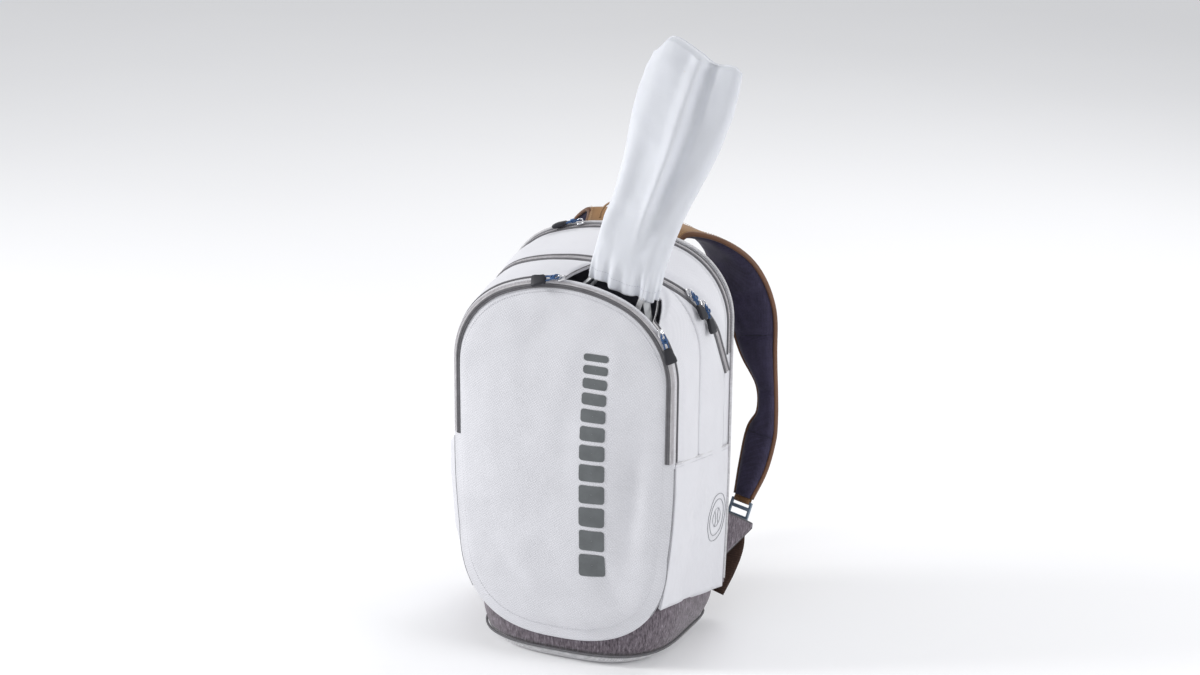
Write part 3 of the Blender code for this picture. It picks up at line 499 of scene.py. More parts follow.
def front_face(x, z):
    across = 1 - (x / FRONT_HALF_WIDTH) ** 2
    return FRONT_Y - FRONT_BULGE * max(0.0, across) * (1 - smooth((z - 0.30) / 0.21))


def mouth_cut(x, z):
    middle, half = (MOUTH_LEFT + MOUTH_RIGHT) / 2, (MOUTH_RIGHT - MOUTH_LEFT) / 2
    t = 1 - ((x - middle) / half) ** 2
    if z < 0.42 or t <= 0:
        return 0.0
    return (MOUTH_BACK_Y - FRONT_Y - PANEL) * min(1.0, t * 2.2) ** 0.8


def main_zip_y(z):
    return MAIN_ZIP_TOP_Y + MAIN_ZIP_SLOPE * max(0.0, MAIN_ZIP_HIGH - z)


def zip_clear(x, y, z):
    """0 on a zip and 1 well away from all of them, so that puffed cloth leaves them free."""
    near = min(abs(y - main_zip_y(z)) if z > MAIN_ZIP_END - 0.01 else 1.0,
               abs(y - LAPTOP_ZIP_Y) if z > LAPTOP_ZIP_END - 0.01 else 1.0,
               abs(y - (RACKET_COIL_Y + mouth_cut(x, z))), abs(y - BACK_PANEL_Y))
    return float(smooth((near - 0.007) / 0.016))


# ---------------------------------------------------------------- the bag's cloth
def wall_rows(y_front, y_back, across, along, mouth=False, puff=0.0025, crease=0.0018, seed=0.0):
    rows = []
    for i in range(along + 1):
        s = -1 + 2 * i / along
        row = []
        for k in range(across + 1):
            v = k / across
            y = mix(y_front, y_back, v)
            x, z = arch_point(y, s, band_top(y))
            if mouth:
                y += mouth_cut(x, z) * (1 - v)
            free = zip_clear(x, y, z) * math.sin(math.pi * v) ** 0.5
            lift = free * (puff + crease * fuzz(x, y, z, 17, seed)
                           + 0.5 * crease * fuzz(x, y, z, 42, seed + 5))
            x2, z2 = arch_point(y, s, band_top(y), -lift)
            row.append((x2, y, z2))
        rows.append(row)
    return rows


def build_walls():
    """The three gussets as thin sewn shells."""
    racket = grid("racket_pocket_cloth", wall_rows(FRONT_Y + PANEL, DIVIDER_Y, 18, 200, True, seed=3.0),
                  PLAIN_WHITE)
    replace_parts(thicken(racket, 0.0022), "racket_pocket_gusset")
    main = grid("main_compartment_cloth", wall_rows(DIVIDER_Y, LAPTOP_Y, 22, 180, puff=0.0035, seed=9.0),
                PLAIN_WHITE)
    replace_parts(thicken(main, 0.0022), "main_gusset")
    laptop = grid("laptop_compartment_cloth", wall_rows(LAPTOP_Y, BACK_PANEL_Y, 8, 160, puff=0.0, seed=4.0),
                  PLAIN_WHITE)
    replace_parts(thicken(laptop, 0.0022), "laptop_gusset")


def panel_outline(count_lower=60, count_upper=130):
    """Closed outline of the front panel, (x, z): the arch above and a wide U below."""
    upper = [arch_point(FRONT_Y, -1 + 2 * i / count_upper, PANEL_JOIN) for i in range(count_upper + 1)]
    start = upper[-1]
    lower = []
    for i in range(1, count_lower):
        a = math.pi * i / count_lower
        c = math.cos(a)
        lower.append((start[0] * signed_power(c, 0.72), start[1]
                      - (start[1] - PANEL_LOW) * math.sin(a) ** 0.85))
    return upper + lower


def fold(x, z, centre_x, lean, centre_z, width, reach):
    """A soft fold running nearly upright: 1 on its line, fading across and toward its ends."""
    off = x - centre_x - lean * (z - centre_z)
    return math.exp(-(off / width) ** 2 - ((z - centre_z) / reach) ** 2)


def panel_relief(x, z, share):
    """How far the padded cloth of the front panel stands out of its plain bulge."""
    rim = smooth((1 - share) / 0.12)
    shape = 0.0036 * rim
    folds = (0.0030 * fold(x, z, 0.045, 0.05, 0.24, 0.026, 0.11)
             - 0.0060 * fold(x, z, 0.100, 0.10, 0.220, 0.022, 0.100)
             + 0.0026 * fold(x, z, 0.118, 0.08, 0.23, 0.012, 0.09)
             - 0.0042 * fold(x, z, 0.066, -0.55, 0.128, 0.016, 0.045)
             - 0.0026 * fold(x, z, 0.030, 0.30, 0.365, 0.022, 0.09)
             + 0.0024 * fold(x, z, -0.080, 0.10, 0.30, 0.040, 0.11)
             - 0.0024 * fold(x, z, -0.060, -0.9, 0.115, 0.014, 0.035)
             - 0.0018 * fold(x, z, -0.030, 0.5, 0.440, 0.014, 0.035))
    rumple = 0.0016 * fuzz(x, 0, z * 0.5, 17, 2.0) + 0.0007 * fuzz(x, 0, z * 0.8, 44, 7.0)
    return shape + rim * (folds + rumple)


def build_front_panel():
    outline = panel_outline()
    middle = np.mean(outline, axis=0)
    rounds = 30
    front = []
    for i in range(1, rounds + 1):
        share = 1 - (1 - i / rounds) ** 1.35
        row = []
        for px, pz in outline:
            x, z = middle[0] + (px - middle[0]) * share, middle[1] + (pz - middle[1]) * share
            row.append((x, front_face(x, z) - panel_relief(x, z, share), z))
        front.append(row)
    edge = []
    for depth, inward in ((0.0012, -0.0006), (0.0030, -0.0004), (0.0040, 0.0008)):
        edge.append([(middle[0] + (px - middle[0]) * (1 - inward / 0.15), front_face(px, pz) + depth,
                      middle[1] + (pz - middle[1]) * (1 - inward / 0.2)) for px, pz in outline])
    points_rows = front + edge
    panel = grid("front_panel_cloth", points_rows, WHITE, wrap=True, caps=True)
    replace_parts(panel, "front_panel")
    lower = [(x, z) for x, z in outline if z < ZIP_END - 0.002]
    lower.sort(key=lambda p: math.atan2(p[0], 0.30 - p[1]))
    cord = [(x * 1.004, front_face(x, z) + 0.0010, z - 0.0004) for x, z in lower
            if z > BAND_TOP_FRONT - 0.010]
    for word, part in (("left", [p for p in cord if p[0] < 0]), ("right", [p for p in cord if p[0] > 0])):
        tube(f"front_panel_piping_{word}", part, 0.0009, PALE_EDGE, count=8)
    inner = []
    for x, z in outline:
        inner.append((middle[0] + (x - middle[0]) * 0.915, middle[1] + (z - middle[1]) * 0.935))
    inner.append(inner[0])
    stitches("front_panel_stitching", [(x, front_face(x, z) - panel_relief(x, z, 0.925) - 0.0002, z)
                                       for x, z in inner], THREAD)


SIDE_FRONT_Y, SIDE_BACK_Y = FRONT_Y + PANEL, BACK_PANEL_Y - 0.002


def side_lift(side, y, z, v, t):
    """How far a side panel's cloth stands off. Both belly, and the left pocket bags out at the front."""
    edge = math.sin(math.pi * min(1.0, max(0.0, v))) ** 0.55 * math.sin(math.pi * min(1.0,
                                                                                      max(0.0, t))) ** 0.5
    crease = 0.0019 * fuzz(side, y, z * 1.6, 26, 11.0 * side) + 0.0009 * fuzz(side, y * 1.5, z, 60, 3.0)
    pucker = 0.0018 * math.exp(-((z - 0.15 - 0.25 * (y + 0.10)) / 0.008) ** 2 - ((y + 0.085) / 0.03) ** 2)
    lift = 0.0016 + edge * (0.0030 + crease + pucker)
    if side < 0:
        bag_out = smooth(v / 0.05) * (1 - smooth((v - 0.15) / 0.75)) * smooth((1
                                                                               - t) / 0.10) * smooth(t / 0.35)
        lift += 0.0105 * float(bag_out)
    return lift


def side_point(side, v, t):
    y = mix(SIDE_FRONT_Y, SIDE_BACK_Y, v)
    z = mix(band_top(y) - 0.001, mix(SEAM_FRONT, SEAM_BACK, v), t)
    return Vector((side * (half_width(y, z) + side_lift(side, y, z, v, t)), y, z))


def side_panel(side, word):
    """The lower side panel with the slack of an unfilled pocket."""
    rows = [[side_point(side, i / 56, k / 46) for k in range(47)] for i in range(57)]
    panel = grid(f"side_cloth_{word}", rows, PLAIN_WHITE)
    thicken(panel, 0.0016)
    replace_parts(panel, f"lower_side_panel_{word}")
    seam = [side_point(side, i / 40, 1.0) + Vector((side * 0.0004, 0, 0)) for i in range(41)]
    tube(f"side_seam_{word}", seam, 0.0008, PIPING_WHITE, count=6)
    stitch_line = [side_point(side, i / 40, 0.975) + Vector((side * 0.0003, 0, 0)) for i in range(41)]
    stitches(f"side_stitching_{word}", stitch_line, THREAD)


def plan(half_x, y_front, y_back, z, count=160):
    middle, half_y = (y_front + y_back) / 2, (y_back - y_front) / 2
    loop = []
    for a, c, s in around(count):
        power = 3.0 if s < 0 else 6.0
        y = half_y * signed_power(s, 2 / power)
        wide = half_x * mix(0.96, 1.07, 0.5 + 0.5 * y / half_y)
        loop.append((wide * signed_power(c, 2 / power), middle + y, z))
    return loop


def build_base():
    """Heather band, its piping, and the white ribbed base."""
    rows = []
    steps = 16
    for k in range(steps + 1):
        t = k / steps
        puff = 0.0035 * math.sin(math.pi * t) ** 0.8
        loop = plan(mix(0.129, 0.141, t) + puff, mix(-0.115, -0.1115, t) - puff, mix(0.090, 0.0945, t)
                    + puff * 0.3, 0)
        row = []
        for x, y, _ in loop:
            z = mix(BASE_TOP + 0.0006, band_top(y) + 0.0015, t)
            swell = 1 + 0.006 * fuzz(x, y, z, 30, 6.0) * math.sin(math.pi * t)
            row.append((x * swell, y * swell, z))
        rows.append(row)
    band = grid("heather_band_cloth", rows, HEATHER, wrap=True)
    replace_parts(thicken(band, 0.0022), "heather_band")

    loop = plan(0.1312, -0.1182, 0.0932, BASE_TOP)
    cord = tube("base_piping_cord", loop, 0.0017, GREY_TAPE, closed=True)
    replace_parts(cord, "base_piping")
    rows = []
    profile = [(0.110, -0.104, 0.080, 0.0), (0.111, -0.106, 0.082, 0.0)]
    ribs = 4
    for k in range(ribs * 8 + 1):
        t = k / (ribs * 8)
        rib = 0.0007 * abs(math.sin(math.pi * ribs * t))
        lean = math.sin(t * math.pi / 2) ** 0.8
        profile.append((mix(0.1125, 0.1275, lean) + rib, mix(-0.1068, -0.1148, lean) - rib,
                        mix(0.083, 0.0905, lean) + rib, 0.0006 + 0.0140 * t))
    rows = [plan(*p[:3], p[3]) for p in profile]
    base = grid("ribbed_base", rows, PIPING_WHITE, wrap=True, caps=True)
    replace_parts(base, "base_tray")


# ---------------------------------------------------------------- zips
def strip_rows(low, centre_y, offset, width, lifts, start=-1.0, end=1.0, steps=220):
    """A tape lying on the gusset: lifts gives its height above the cloth across its width."""
    rows = []
    for i in range(steps + 1):
        s = mix(start, end, i / steps)
        x, z = arch_point(0.0, s, low)
        y0 = centre_y(x, z) + offset
        row = []
        for k, lift in enumerate(lifts):
            y = y0 + width * (k / (len(lifts) - 1) - 0.5)
            px, pz = arch_point(y, s, low, -lift)
            row.append((px, y, pz))
        rows.append(row)
    return rows


TAPE_LIFTS = (0.0002, 0.0012, 0.0019, 0.0020, 0.0018, 0.0011, 0.0002)
FLAT_LIFTS = (0.0006, 0.0010, 0.0011, 0.0011, 0.0010, 0.0006)


def gusset_facing(p):
    return Vector((p.x, 0, max(0.0, p.z - 0.40))).normalized()


def teeth(name, samples, facing, width=0.0017, pitch=0.0018):
    """Meshed coil teeth: a row of small rounded links across a zip's middle."""
    points, faces = [], []
    travelled = 0.0
    profile = ((-1, 0.0), (-0.6, 0.0007), (0.6, 0.0007), (1, 0.0))
    for a, b, c in zip(samples, samples[1:], samples[2:]):
        travelled += (b - a).length
        if travelled < pitch:
            continue
        travelled = 0.0
        run = (c - a).normalized()
        out = facing(b)
        across = run.cross(out).normalized()
        out = across.cross(run)
        base = len(points)
        for half in (-1, 1):
            for u, h in profile:
                points.append(b + across * (u * width) + out * h + run * (half * pitch * 0.34))
        for k in range(3):
            faces.append((base + k, base + k + 1, base + 4 + k + 1, base + 4 + k))
        faces.append((base, base + 1, base + 2, base + 3))
        faces.append((base + 4, base + 5, base + 6, base + 7))
        faces.append((base, base + 3, base + 7, base + 4))
    return new_object(name, points, faces, COIL, sharp=30)


def coil(name, low, centre_y):
    samples = []
    for i in range(1201):
        x, z = arch_point(0.0, -1 + 2 * i / 1200, low)
        y = centre_y(x, z)
        px, pz = arch_point(y, -1 + 2 * i / 1200, low, -0.0012)
        samples.append(Vector((px, y, pz)))
    return teeth(name, samples, gusset_facing)


def build_zip(prefix, low, centre_y, coil_width, front_width, rear_width):
    for word, side, width in (("front", -1, front_width), ("rear", 1, rear_width)):
        shift = side * (coil_width + width) / 2
        edge = grid(f"{prefix}_{word}_edge_tape", strip_rows(low, centre_y, shift, width, TAPE_LIFTS),
                    GREY_TAPE)
        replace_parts(thicken(edge, 0.0006), f"{prefix}_zip_{word}_edge")
    bed = grid(f"{prefix}_coil_tape", strip_rows(low, centre_y, 0, coil_width, FLAT_LIFTS), ZIP_WHITE)
    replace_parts(thicken(bed, 0.0006), f"{prefix}_zip_coil")
    coil(f"{prefix}_coil_teeth", low, centre_y)


# the racket zip over the front panel's rounded rim: inset from the outline, depth behind the front face
RIM_GREY = ((0.0104, 0.0004), (0.0101, -0.0030), (0.0078, -0.0038), (0.0073, -0.0031), (0.0068, -0.0039),
            (0.0050, -0.0036),
            (0.0042, -0.0024))
RIM_TAPE = ((0.0044, -0.0028), (0.0030, -0.0024), (0.0010, -0.0008), (-0.0006, 0.0012), (-0.0011, 0.0030))
RIM_TEETH = (0.0014, -0.0012)


def rim_rows(profile, start=-1.0, end=1.0, steps=240):
    rows = []
    for i in range(steps + 1):
        s = mix(start, end, i / steps)
        row = []
        for inset, depth in profile:
            x, z = arch_point(FRONT_Y, s, ZIP_END, inset)
            row.append((x, front_face(x, z) + depth, z))
        rows.append(row)
    return rows


def build_racket_zip():
    """Broad edge on the front panel, and the coil over its rim, parted around the mouth."""
    edge = grid("racket_front_edge_tape", rim_rows(RIM_GREY), GREY_TAPE)
    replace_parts(thicken(edge, 0.0005), "racket_zip_front_edge")
    # a dark cord in the dip between the grey edge's two ridges: painted shade in the groove
    ridge = [row[3] for row in rim_rows(RIM_GREY)]
    tube("racket_edge_groove_painted_shade", ridge, 0.0005, DARK_TAPE, count=6)

    def mouth_edge(x, z):
        return FRONT_Y + PANEL + 0.0010 + mouth_cut(x, z)

    for word, start, end in (("left", -1.0, -0.01), ("right", 0.49, 1.0)):
        bed = grid(f"racket_coil_tape_{word}", rim_rows(RIM_TAPE, start, end, 130), ZIP_WHITE)
        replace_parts(thicken(bed, 0.0005), f"racket_zip_coil_{word}")
        middle = []
        for i in range(601):
            x, z = arch_point(FRONT_Y, mix(start, end, i / 600), ZIP_END, RIM_TEETH[0])
            middle.append(Vector((x, front_face(x, z) + RIM_TEETH[1], z)))
        teeth(f"racket_coil_teeth_{word}", middle, rim_facing)
    rear = grid("racket_rear_edge_tape", strip_rows(ZIP_END, mouth_edge, 0.0028, 0.0034, TAPE_LIFTS),
                GREY_TAPE)
    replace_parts(thicken(rear, 0.0005), "racket_zip_rear_edge")
    front_half = grid("mouth_front_tape", rim_rows(((0.0044, -0.0028), (0.0032, -0.0026), (0.0022, -0.0012),
                                                    (0.0020, 0.0030),
                                                    (0.0024, 0.0060)), MOUTH_START, MOUTH_END, 120),
                      ZIP_WHITE)
    thicken(front_half, 0.0005)
    middle = [Vector(row[1]) for row in rim_rows(((0.0044, -0.0028), (0.0022, -0.0022)), MOUTH_START,
                                                 MOUTH_END, 400)]
    teeth("mouth_front_teeth", middle, rim_facing, width=0.0010)
    back_half = grid("mouth_rear_tape", strip_rows(ZIP_END, mouth_edge, -0.0004, 0.0038, FLAT_LIFTS,
                                                   MOUTH_START, MOUTH_END, 120), ZIP_WHITE)
    thicken(back_half, 0.0005)


def rim_facing(p):
    """Which way the rounded rim faces: half forward, half away from the panel's middle."""
    away = Vector((p.x, 0, max(0.0, p.z - 0.39))).normalized()
    return (away + Vector((0, -1, 0))).normalized()


# ---------------------------------------------------------------- sliders and their pulls
def vertices_of(node):
    mesh = nodes[node].data
    return np.array([v.co[:] for v in mesh.vertices])


def joint_named(name):
    return next(j for j in frame["joints"] if j["name"] == name)


def pull_frame(prefix):
    """Hinge point, lead, facing and across directions of a pull, from its joint and its solids."""
    swing = joint_named(f"{prefix}_pull_swing")
    hinge = Vector(swing["pos_m"])
    across = Vector(swing["axis"]).normalized()
    grip = vertices_of(f"{prefix}_pull_grip").mean(axis=0)
    lead = Vector(grip) - hinge
    lead = (lead - across * lead.dot(across)).normalized()
    faces = across.cross(lead).normalized()
    base = Vector(vertices_of(f"{prefix}_slider").mean(axis=0))
    if faces.dot(hinge - base) < 0:
        faces = -faces
    return hinge, lead, faces, across


def box_piece(name, centre, u, v, w, sizes, finish, body, bevel=0.0006):
    """A bevelled block with axes u, v, w and half sizes along them."""
    points = []
    for a in (-1, 1):
        for b, c in ((-1, -1), (1, -1), (1, 1), (-1, 1)):
            points.append(centre + u * (a * sizes[0]) + v * (b * sizes[1]) + w * (c * sizes[2]))
    faces = [(0, 1, 2, 3), (4, 5, 6, 7), (0, 1, 5, 4), (1, 2, 6, 5), (2, 3, 7, 6), (3, 0, 4, 7)]
    obj = new_object(name, points, faces, finish, body, sharp=30)
    round_off = obj.modifiers.new("bevel", "BEVEL")
    round_off.width = bevel
    round_off.segments = 3
    return obj


def build_slider(prefix):
    """Slider with a pinched body, side wings and a wire bridge, then cord, knot and moulded grip."""
    hinge, lead, faces, across = pull_frame(prefix)
    body = f"{prefix}_slider"
    centre = hinge - faces * 0.0046
    rows = []
    for up, scale in ((-0.0016, 0.86), (-0.0008, 1.0), (0.0006, 1.0), (0.0014, 0.8)):
        ring = []
        for a, c, s in around(28):
            pinch = 1 - 0.28 * math.exp(-((c + 0.35) / 0.3) ** 2)
            ring.append(centre + lead * (0.0056 * scale * signed_power(c, 0.55))
                        + across * (0.0043 * scale * pinch * signed_power(s, 0.55)) + faces * up)
        rows.append(ring)
    shell = grid(f"{prefix}_slider_body", rows, METAL, body, wrap=True, caps=True, sharp=50)
    bridge = [centre + lead * (0.0040 * math.cos(math.pi * i / 12))
              + faces * (0.0012 + 0.0046 * math.sin(math.pi * i / 12) ** 0.7)
              for i in range(13)]
    wire = tube(f"{prefix}_slider_bridge", bridge, 0.0008, METAL, body, 8, up=across)
    whole = joined(f"{prefix}_slider_metal", [shell, wire])
    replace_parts(whole, f"{prefix}_slider")

    build_pull(prefix, hinge, lead, faces, across)


# distance from the hinge, half width and half thickness of the moulded grip
GRIP_PROFILE = ((0.0190, 0.0024, 0.0012), (0.0196, 0.0044, 0.0022), (0.0222, 0.0062, 0.0029),
                (0.0275, 0.0072, 0.0031),
                (0.0335, 0.0078, 0.0031), (0.0374, 0.0079, 0.0026), (0.0386, 0.0070, 0.0018),
                (0.0390, 0.0054, 0.0010))
STRAND_ROUTE = ((0.0004, 0.0007), (0.0026, 0.0020), (0.0058, 0.0027), (0.0085, 0.0013), (0.0105, 0.0009),
                (0.0135, 0.0024),
                (0.0175, 0.0027), (0.0215, 0.0020))


def build_pull(prefix, hinge, lead, faces, across):
    """A doubled cord through the bridge, its knot, and the moulded grip."""
    ride = f"{prefix}_pull"
    pieces = []
    for side in (-1, 1):
        spine = [hinge + lead * d + across * (side * w) + faces * (0.0002 * side + 0.0004)
                 for d, w in curve_through(STRAND_ROUTE, 4)]
        pieces.append(tube(f"{prefix}_strand", spine, 0.00105, CORD, ride, 8, up=faces))
    knot = []
    for i in range(72):
        a = 2 * math.pi * i / 72
        knot.append(hinge + lead * (0.0098 + 0.0021 * math.cos(3 * a)) + across * (0.0027 * math.sin(2 * a))
                    + faces * (0.0006 + 0.0020 * math.cos(2 * a + 0.6)))
    pieces.append(tube(f"{prefix}_knot", knot, 0.0012, CORD, ride, 8, closed=True, up=faces))
    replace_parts(joined(f"{prefix}_pull_cord_loop", pieces), f"{prefix}_pull_cord")
    rows = []
    for d, w, t in GRIP_PROFILE:
        ring = []
        for a, c, s in around(24):
            notch = 1 - 0.10 * math.exp(-((d - 0.0275) / 0.0016) ** 2)
            ring.append(hinge + lead * d + across * (w * notch * signed_power(c, 0.45))
                        + faces * (t * signed_power(s, 0.45)))
        rows.append(ring)
    grip = grid(f"{prefix}_pull_tab", rows, RUBBER, ride, wrap=True, caps=True, sharp=45)
    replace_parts(grip, f"{prefix}_pull_grip")


# ---------------------------------------------------------------- the back and the straps
STRAP_TOP_RIGHT = [(0.043, 0.1070, 0.478, 0.026, 0, 1, 0), (0.046, 0.115, 0.506, 0.022, 0, 0.8, -0.6),
                   (0.062, 0.140, 0.521, 0.023, -0.1, 0.05, -1),
                   (0.093, 0.166, 0.506, 0.031, -0.2, -0.45, -0.85),
                   (0.127, 0.180, 0.463, 0.038, -0.2, -0.9, -0.4)]
STRAP_TOP_LEFT = [(0.040, 0.1070, 0.478, 0.026, 0, 1, 0), (0.038, 0.114, 0.512, 0.022, 0, 0.75, -0.65),
                  (0.041, 0.138, 0.536, 0.021, 0, 0.05, -1), (0.062, 0.165, 0.516, 0.025, -0.12, -0.6, -0.8),
                  (0.101, 0.180, 0.464, 0.029, -0.2, -0.9, -0.5)]
STRAP_KNOTS = [(0.149, 0.187, 0.408, 0.036, -0.15, -1, 0), (0.161, 0.188, 0.352, 0.027, -0.15, -1, 0),
               (0.175, 0.187, 0.305, 0.0145, -0.15, -1, 0), (0.178, 0.184, 0.265, 0.0140, -0.15, -1, 0),
               (0.172, 0.179, 0.235, 0.021, -0.15, -1, 0), (0.166, 0.168, 0.192, 0.0200, -0.15, -1, 0.2),
               (0.158, 0.154, 0.152, 0.0130, -0.15, -1, 0.3)]
STRAP_SEAM_HEIGHTS = (0.478, 0.427, 0.372, 0.296, 0.236)


def strap_stations(side, steps=8):
    top = STRAP_TOP_RIGHT if side > 0 else STRAP_TOP_LEFT
    knots = [(side * x, y, z, w, side * fx, fy, fz) for x, y, z, w, fx, fy, fz in top + STRAP_KNOTS]
    points = curve_through(knots, steps)
    stations = []
    for i, p in enumerate(points):
        before, after = points[max(0, i - 1)], points[min(len(points) - 1, i + 1)]
        along = (Vector(after[:3]) - Vector(before[:3])).normalized()
        face = Vector(p[4:7])
        normal = (face - along * along.dot(face)).normalized()
        stations.append((Vector(p[:3]), float(p[3]), along, normal.cross(along), normal))
    return stations


def build_strap(side, word):
    """Navy quilted pad, tan outer cloth, a brown rolled binding and the pad's stitched cross seams."""
    ride = f"strap_{word}"
    stations = strap_stations(side)
    pad_rows, cover_rows, edges = [], [], ([], [])
    columns = 16
    for i, (centre, w, along, across, normal) in enumerate(stations):
        end = min(1.0, (i + 1) / 5, (len(stations) - i) / 5)
        groove = sum(math.exp(-((centre.z - h) / 0.0034) ** 2) for h in STRAP_SEAM_HEIGHTS if i > 22)
        row = []
        for k in range(columns + 1):
            u = -1 + 2 * k / columns
            crown = (1 - abs(u) ** 5) * (0.55 + 0.45 * end)
            rumple = 0.0005 * fuzz(centre.x + u * 0.03, centre.y, centre.z, 60, 8.0)
            thick = 0.0022 + (0.0082 * crown) * (1 - 0.42 * min(1, groove)) + rumple * crown
            row.append(centre + across * (u * w * 0.985) + normal * thick)
        row = [centre - across * (w * 0.985) + normal * 0.0008] + row + [centre + across * (w * 0.985)
                                                                         + normal * 0.0008]
        pad_rows.append(row)
        cover_rows.append([centre + across * (mix(-1, 1, k / 10) * w * 0.99)
                           - normal * (0.0008 + 0.0014 * (1 - abs(mix(-1, 1, k / 10)) ** 4))
                           for k in range(11)])
        for edge, sign in zip(edges, (-1, 1)):
            edge.append(centre + across * (sign * w * 0.995) + normal * 0.0015)
    pad = grid(f"strap_pad_{word}", pad_rows, NAVY, ride, wrap=True, caps=True)
    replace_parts(pad, f"shoulder_strap_{word}")
    cover = grid(f"strap_outer_cloth_{word}", cover_rows, TAN, ride)
    thicken(cover, 0.0012)
    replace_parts(cover, f"strap_cover_{word}")
    rolls = [tube(f"binding_{i}", edge, 0.0024, BROWN_EDGE, ride, 10, flat=1.5)
             for i, edge in enumerate(edges)]
    joined(f"strap_binding_{word}", rolls)
    for i, sign in enumerate((-1, 1)):
        line = [c + a * (sign * (w - 0.0042)) - n * 0.0026 for c, w, _, a, n in stations]
        stitches(f"strap_stitching_{word}_{i}", line, TAN_THREAD, ride)
    build_strap_seams(stations, ride, word)


def build_strap_seams(stations, ride, word):
    """A tuck sunk in each cross seam, coloured darker than the pad: painted shade in the seam's groove."""
    seams = []
    for h in STRAP_SEAM_HEIGHTS:
        i = min(range(23, len(stations)), key=lambda n: abs(stations[n][0].z - h))
        centre, w, along, across, normal = stations[i]
        spine = []
        for k in range(17):
            u = -1 + 2 * k / 16
            crown = (1 - abs(u) ** 5)
            spine.append(centre + across * (u * w * 0.95) + normal * (0.0022 + 0.0082 * crown * 0.60))
        seams.append(tube("seam", spine, 0.0005, NAVY_SEAM_SHADE, ride, 6))
    joined(f"strap_cross_seams_{word}", seams)


def lock_frame(side):
    centre, _, along, across, normal = strap_stations(side)[-1]
    return centre + along * 0.0185, along, across, normal


def ribbon(name, centres, wides, half_width, half_thick, finish, ride):
    """Flat webbing along centres, with its width along wides and rounded edges."""
    rows = []
    for i, (p, wide) in enumerate(zip(centres, wides)):
        p, wide = Vector(p), Vector(wide).normalized()
        before, after = Vector(centres[max(0, i - 1)]), Vector(centres[min(len(centres) - 1, i + 1)])
        run = (after - before).normalized()
        wide = (wide - run * wide.dot(run)).normalized()
        thin = run.cross(wide)
        row = []
        for u, t in ((-1, 0), (-0.96, 0.8), (-0.6, 1), (0, 1), (0.6, 1), (0.96, 0.8), (1, 0), (0.96, -0.8),
                     (0.6, -1), (0, -1),
                     (-0.6, -1), (-0.96, -0.8)):
            row.append(p + wide * (u * half_width) + thin * (t * half_thick))
        rows.append(row)
    return grid(name, rows, finish, ride, wrap=True, caps=True)


WEB_KNOTS = [(0.155, 0.134, 0.088), (0.149, 0.119, 0.058), (0.140, 0.0985, 0.031)]


def build_ladder_lock(side, word):
    """The buckle: frame with two slots, a grip lip, and the tan loop that ties it to the strap."""
    centre, along, across, normal = lock_frame(side)
    ride = f"ladder_lock_{word}"
    bars = []
    for at_row, half_row in ((-0.0115, 0.0015), (-0.0030, 0.0023), (0.0100, 0.0028)):
        bars.append(box_piece("bar", centre + along * at_row, across, along, normal,
                              (0.0155, half_row, 0.0020), BUCKLE, ride))
    for sign in (-1, 1):
        bars.append(box_piece("rail", centre + across * (sign * 0.0140), along, across, normal,
                              (0.0128, 0.0016, 0.0023),
                              BUCKLE, ride))
    lip = [centre + along * 0.0120 + across * (u * 0.0125) - normal * 0.0010 for u in (-1, -0.5, 0, 0.5, 1)]
    bars.append(tube("lip", lip, 0.0019, BUCKLE, ride, 10))
    buckle = joined(f"buckle_{word}", bars)
    for modifier in list(buckle.modifiers)[1:]:
        buckle.modifiers.remove(modifier)
    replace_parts(buckle, f"ladder_lock_{word}")
    loop = []
    wides = []
    for i in range(15):
        a = math.pi * 2 * i / 14
        loop.append(centre - along * (0.0150 + 0.0052 * math.cos(a)) + normal * (0.0034 * math.sin(a)))
        wides.append(across)
    ribbon(f"strap_end_loop_{word}", loop, wides, 0.0118, 0.0007, TAN_WEB, f"strap_{word}")


def build_webbing(side, word):
    """Adjusting web: round the buckle's lower bar and down to the bag's corner, with its loose tail."""
    centre, along, across, normal = lock_frame(side)
    flip = 1 if across.x > 0 else -1
    ride = f"strap_{word}"
    knots = [tuple(centre + along * 0.0155 - normal * 0.0010), *[(side * x, y, z) for x, y, z in WEB_KNOTS]]
    centres = curve_through(knots, 8)
    wides = [tuple(across.lerp(Vector((flip, 0, 0)), i / (len(centres) - 1))) for i in range(len(centres))]
    web = ribbon(f"strap_web_{word}", centres, wides, 0.0122, 0.0008, WEBBING, ride)
    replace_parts(web, f"strap_webbing_{word}")
    tail_knots = [tuple(centre + along * 0.0150 - normal * 0.0030),
                  tuple(centre + along * 0.026 - normal * 0.0052),
                  tuple(centre + along * 0.044 - normal * 0.0040),
                  tuple(centre + along * 0.060 - normal * 0.0034)]
    ribbon(f"web_tail_{word}", curve_through(tail_knots, 6), [tuple(across)] * 19, 0.0118, 0.0008, TAN_WEB,
           ride)


WING_CORNERS = ((0.177, 0.146, 0.116), (0.153, 0.0975, 0.150), (0.147, 0.0975, 0.082))  # tip, high, low


def build_wing(side, word):
    """Heather wing sewn into the back edge, with a folded rim."""
    tip, high, low = (Vector((side * x, y, z)) for x, y, z in WING_CORNERS)
    rows = []
    for i in range(13):
        t = i / 12
        a, b = high.lerp(tip, t * 0.90), low.lerp(tip, t * 0.90)
        row = []
        for k in range(11):
            belly = side * 0.0012 * math.sin(math.pi * k / 10) * math.sin(math.pi * t)
            row.append(a.lerp(b, k / 10) + Vector((belly, 0, 0)))
        rows.append(row)
    cloth = grid(f"wing_cloth_{word}", rows, HEATHER)
    thicken(cloth, 0.0022, 0.0)
    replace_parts(cloth, f"strap_wing_{word}")
    rim = [high.lerp(tip, t / 10 * 0.9) for t in range(11)] + [low.lerp(tip, t / 10 * 0.9)
                                                               for t in range(10, -1, -1)]
    tube(f"wing_rim_{word}", rim, 0.0014, DARK_TAPE, count=8)


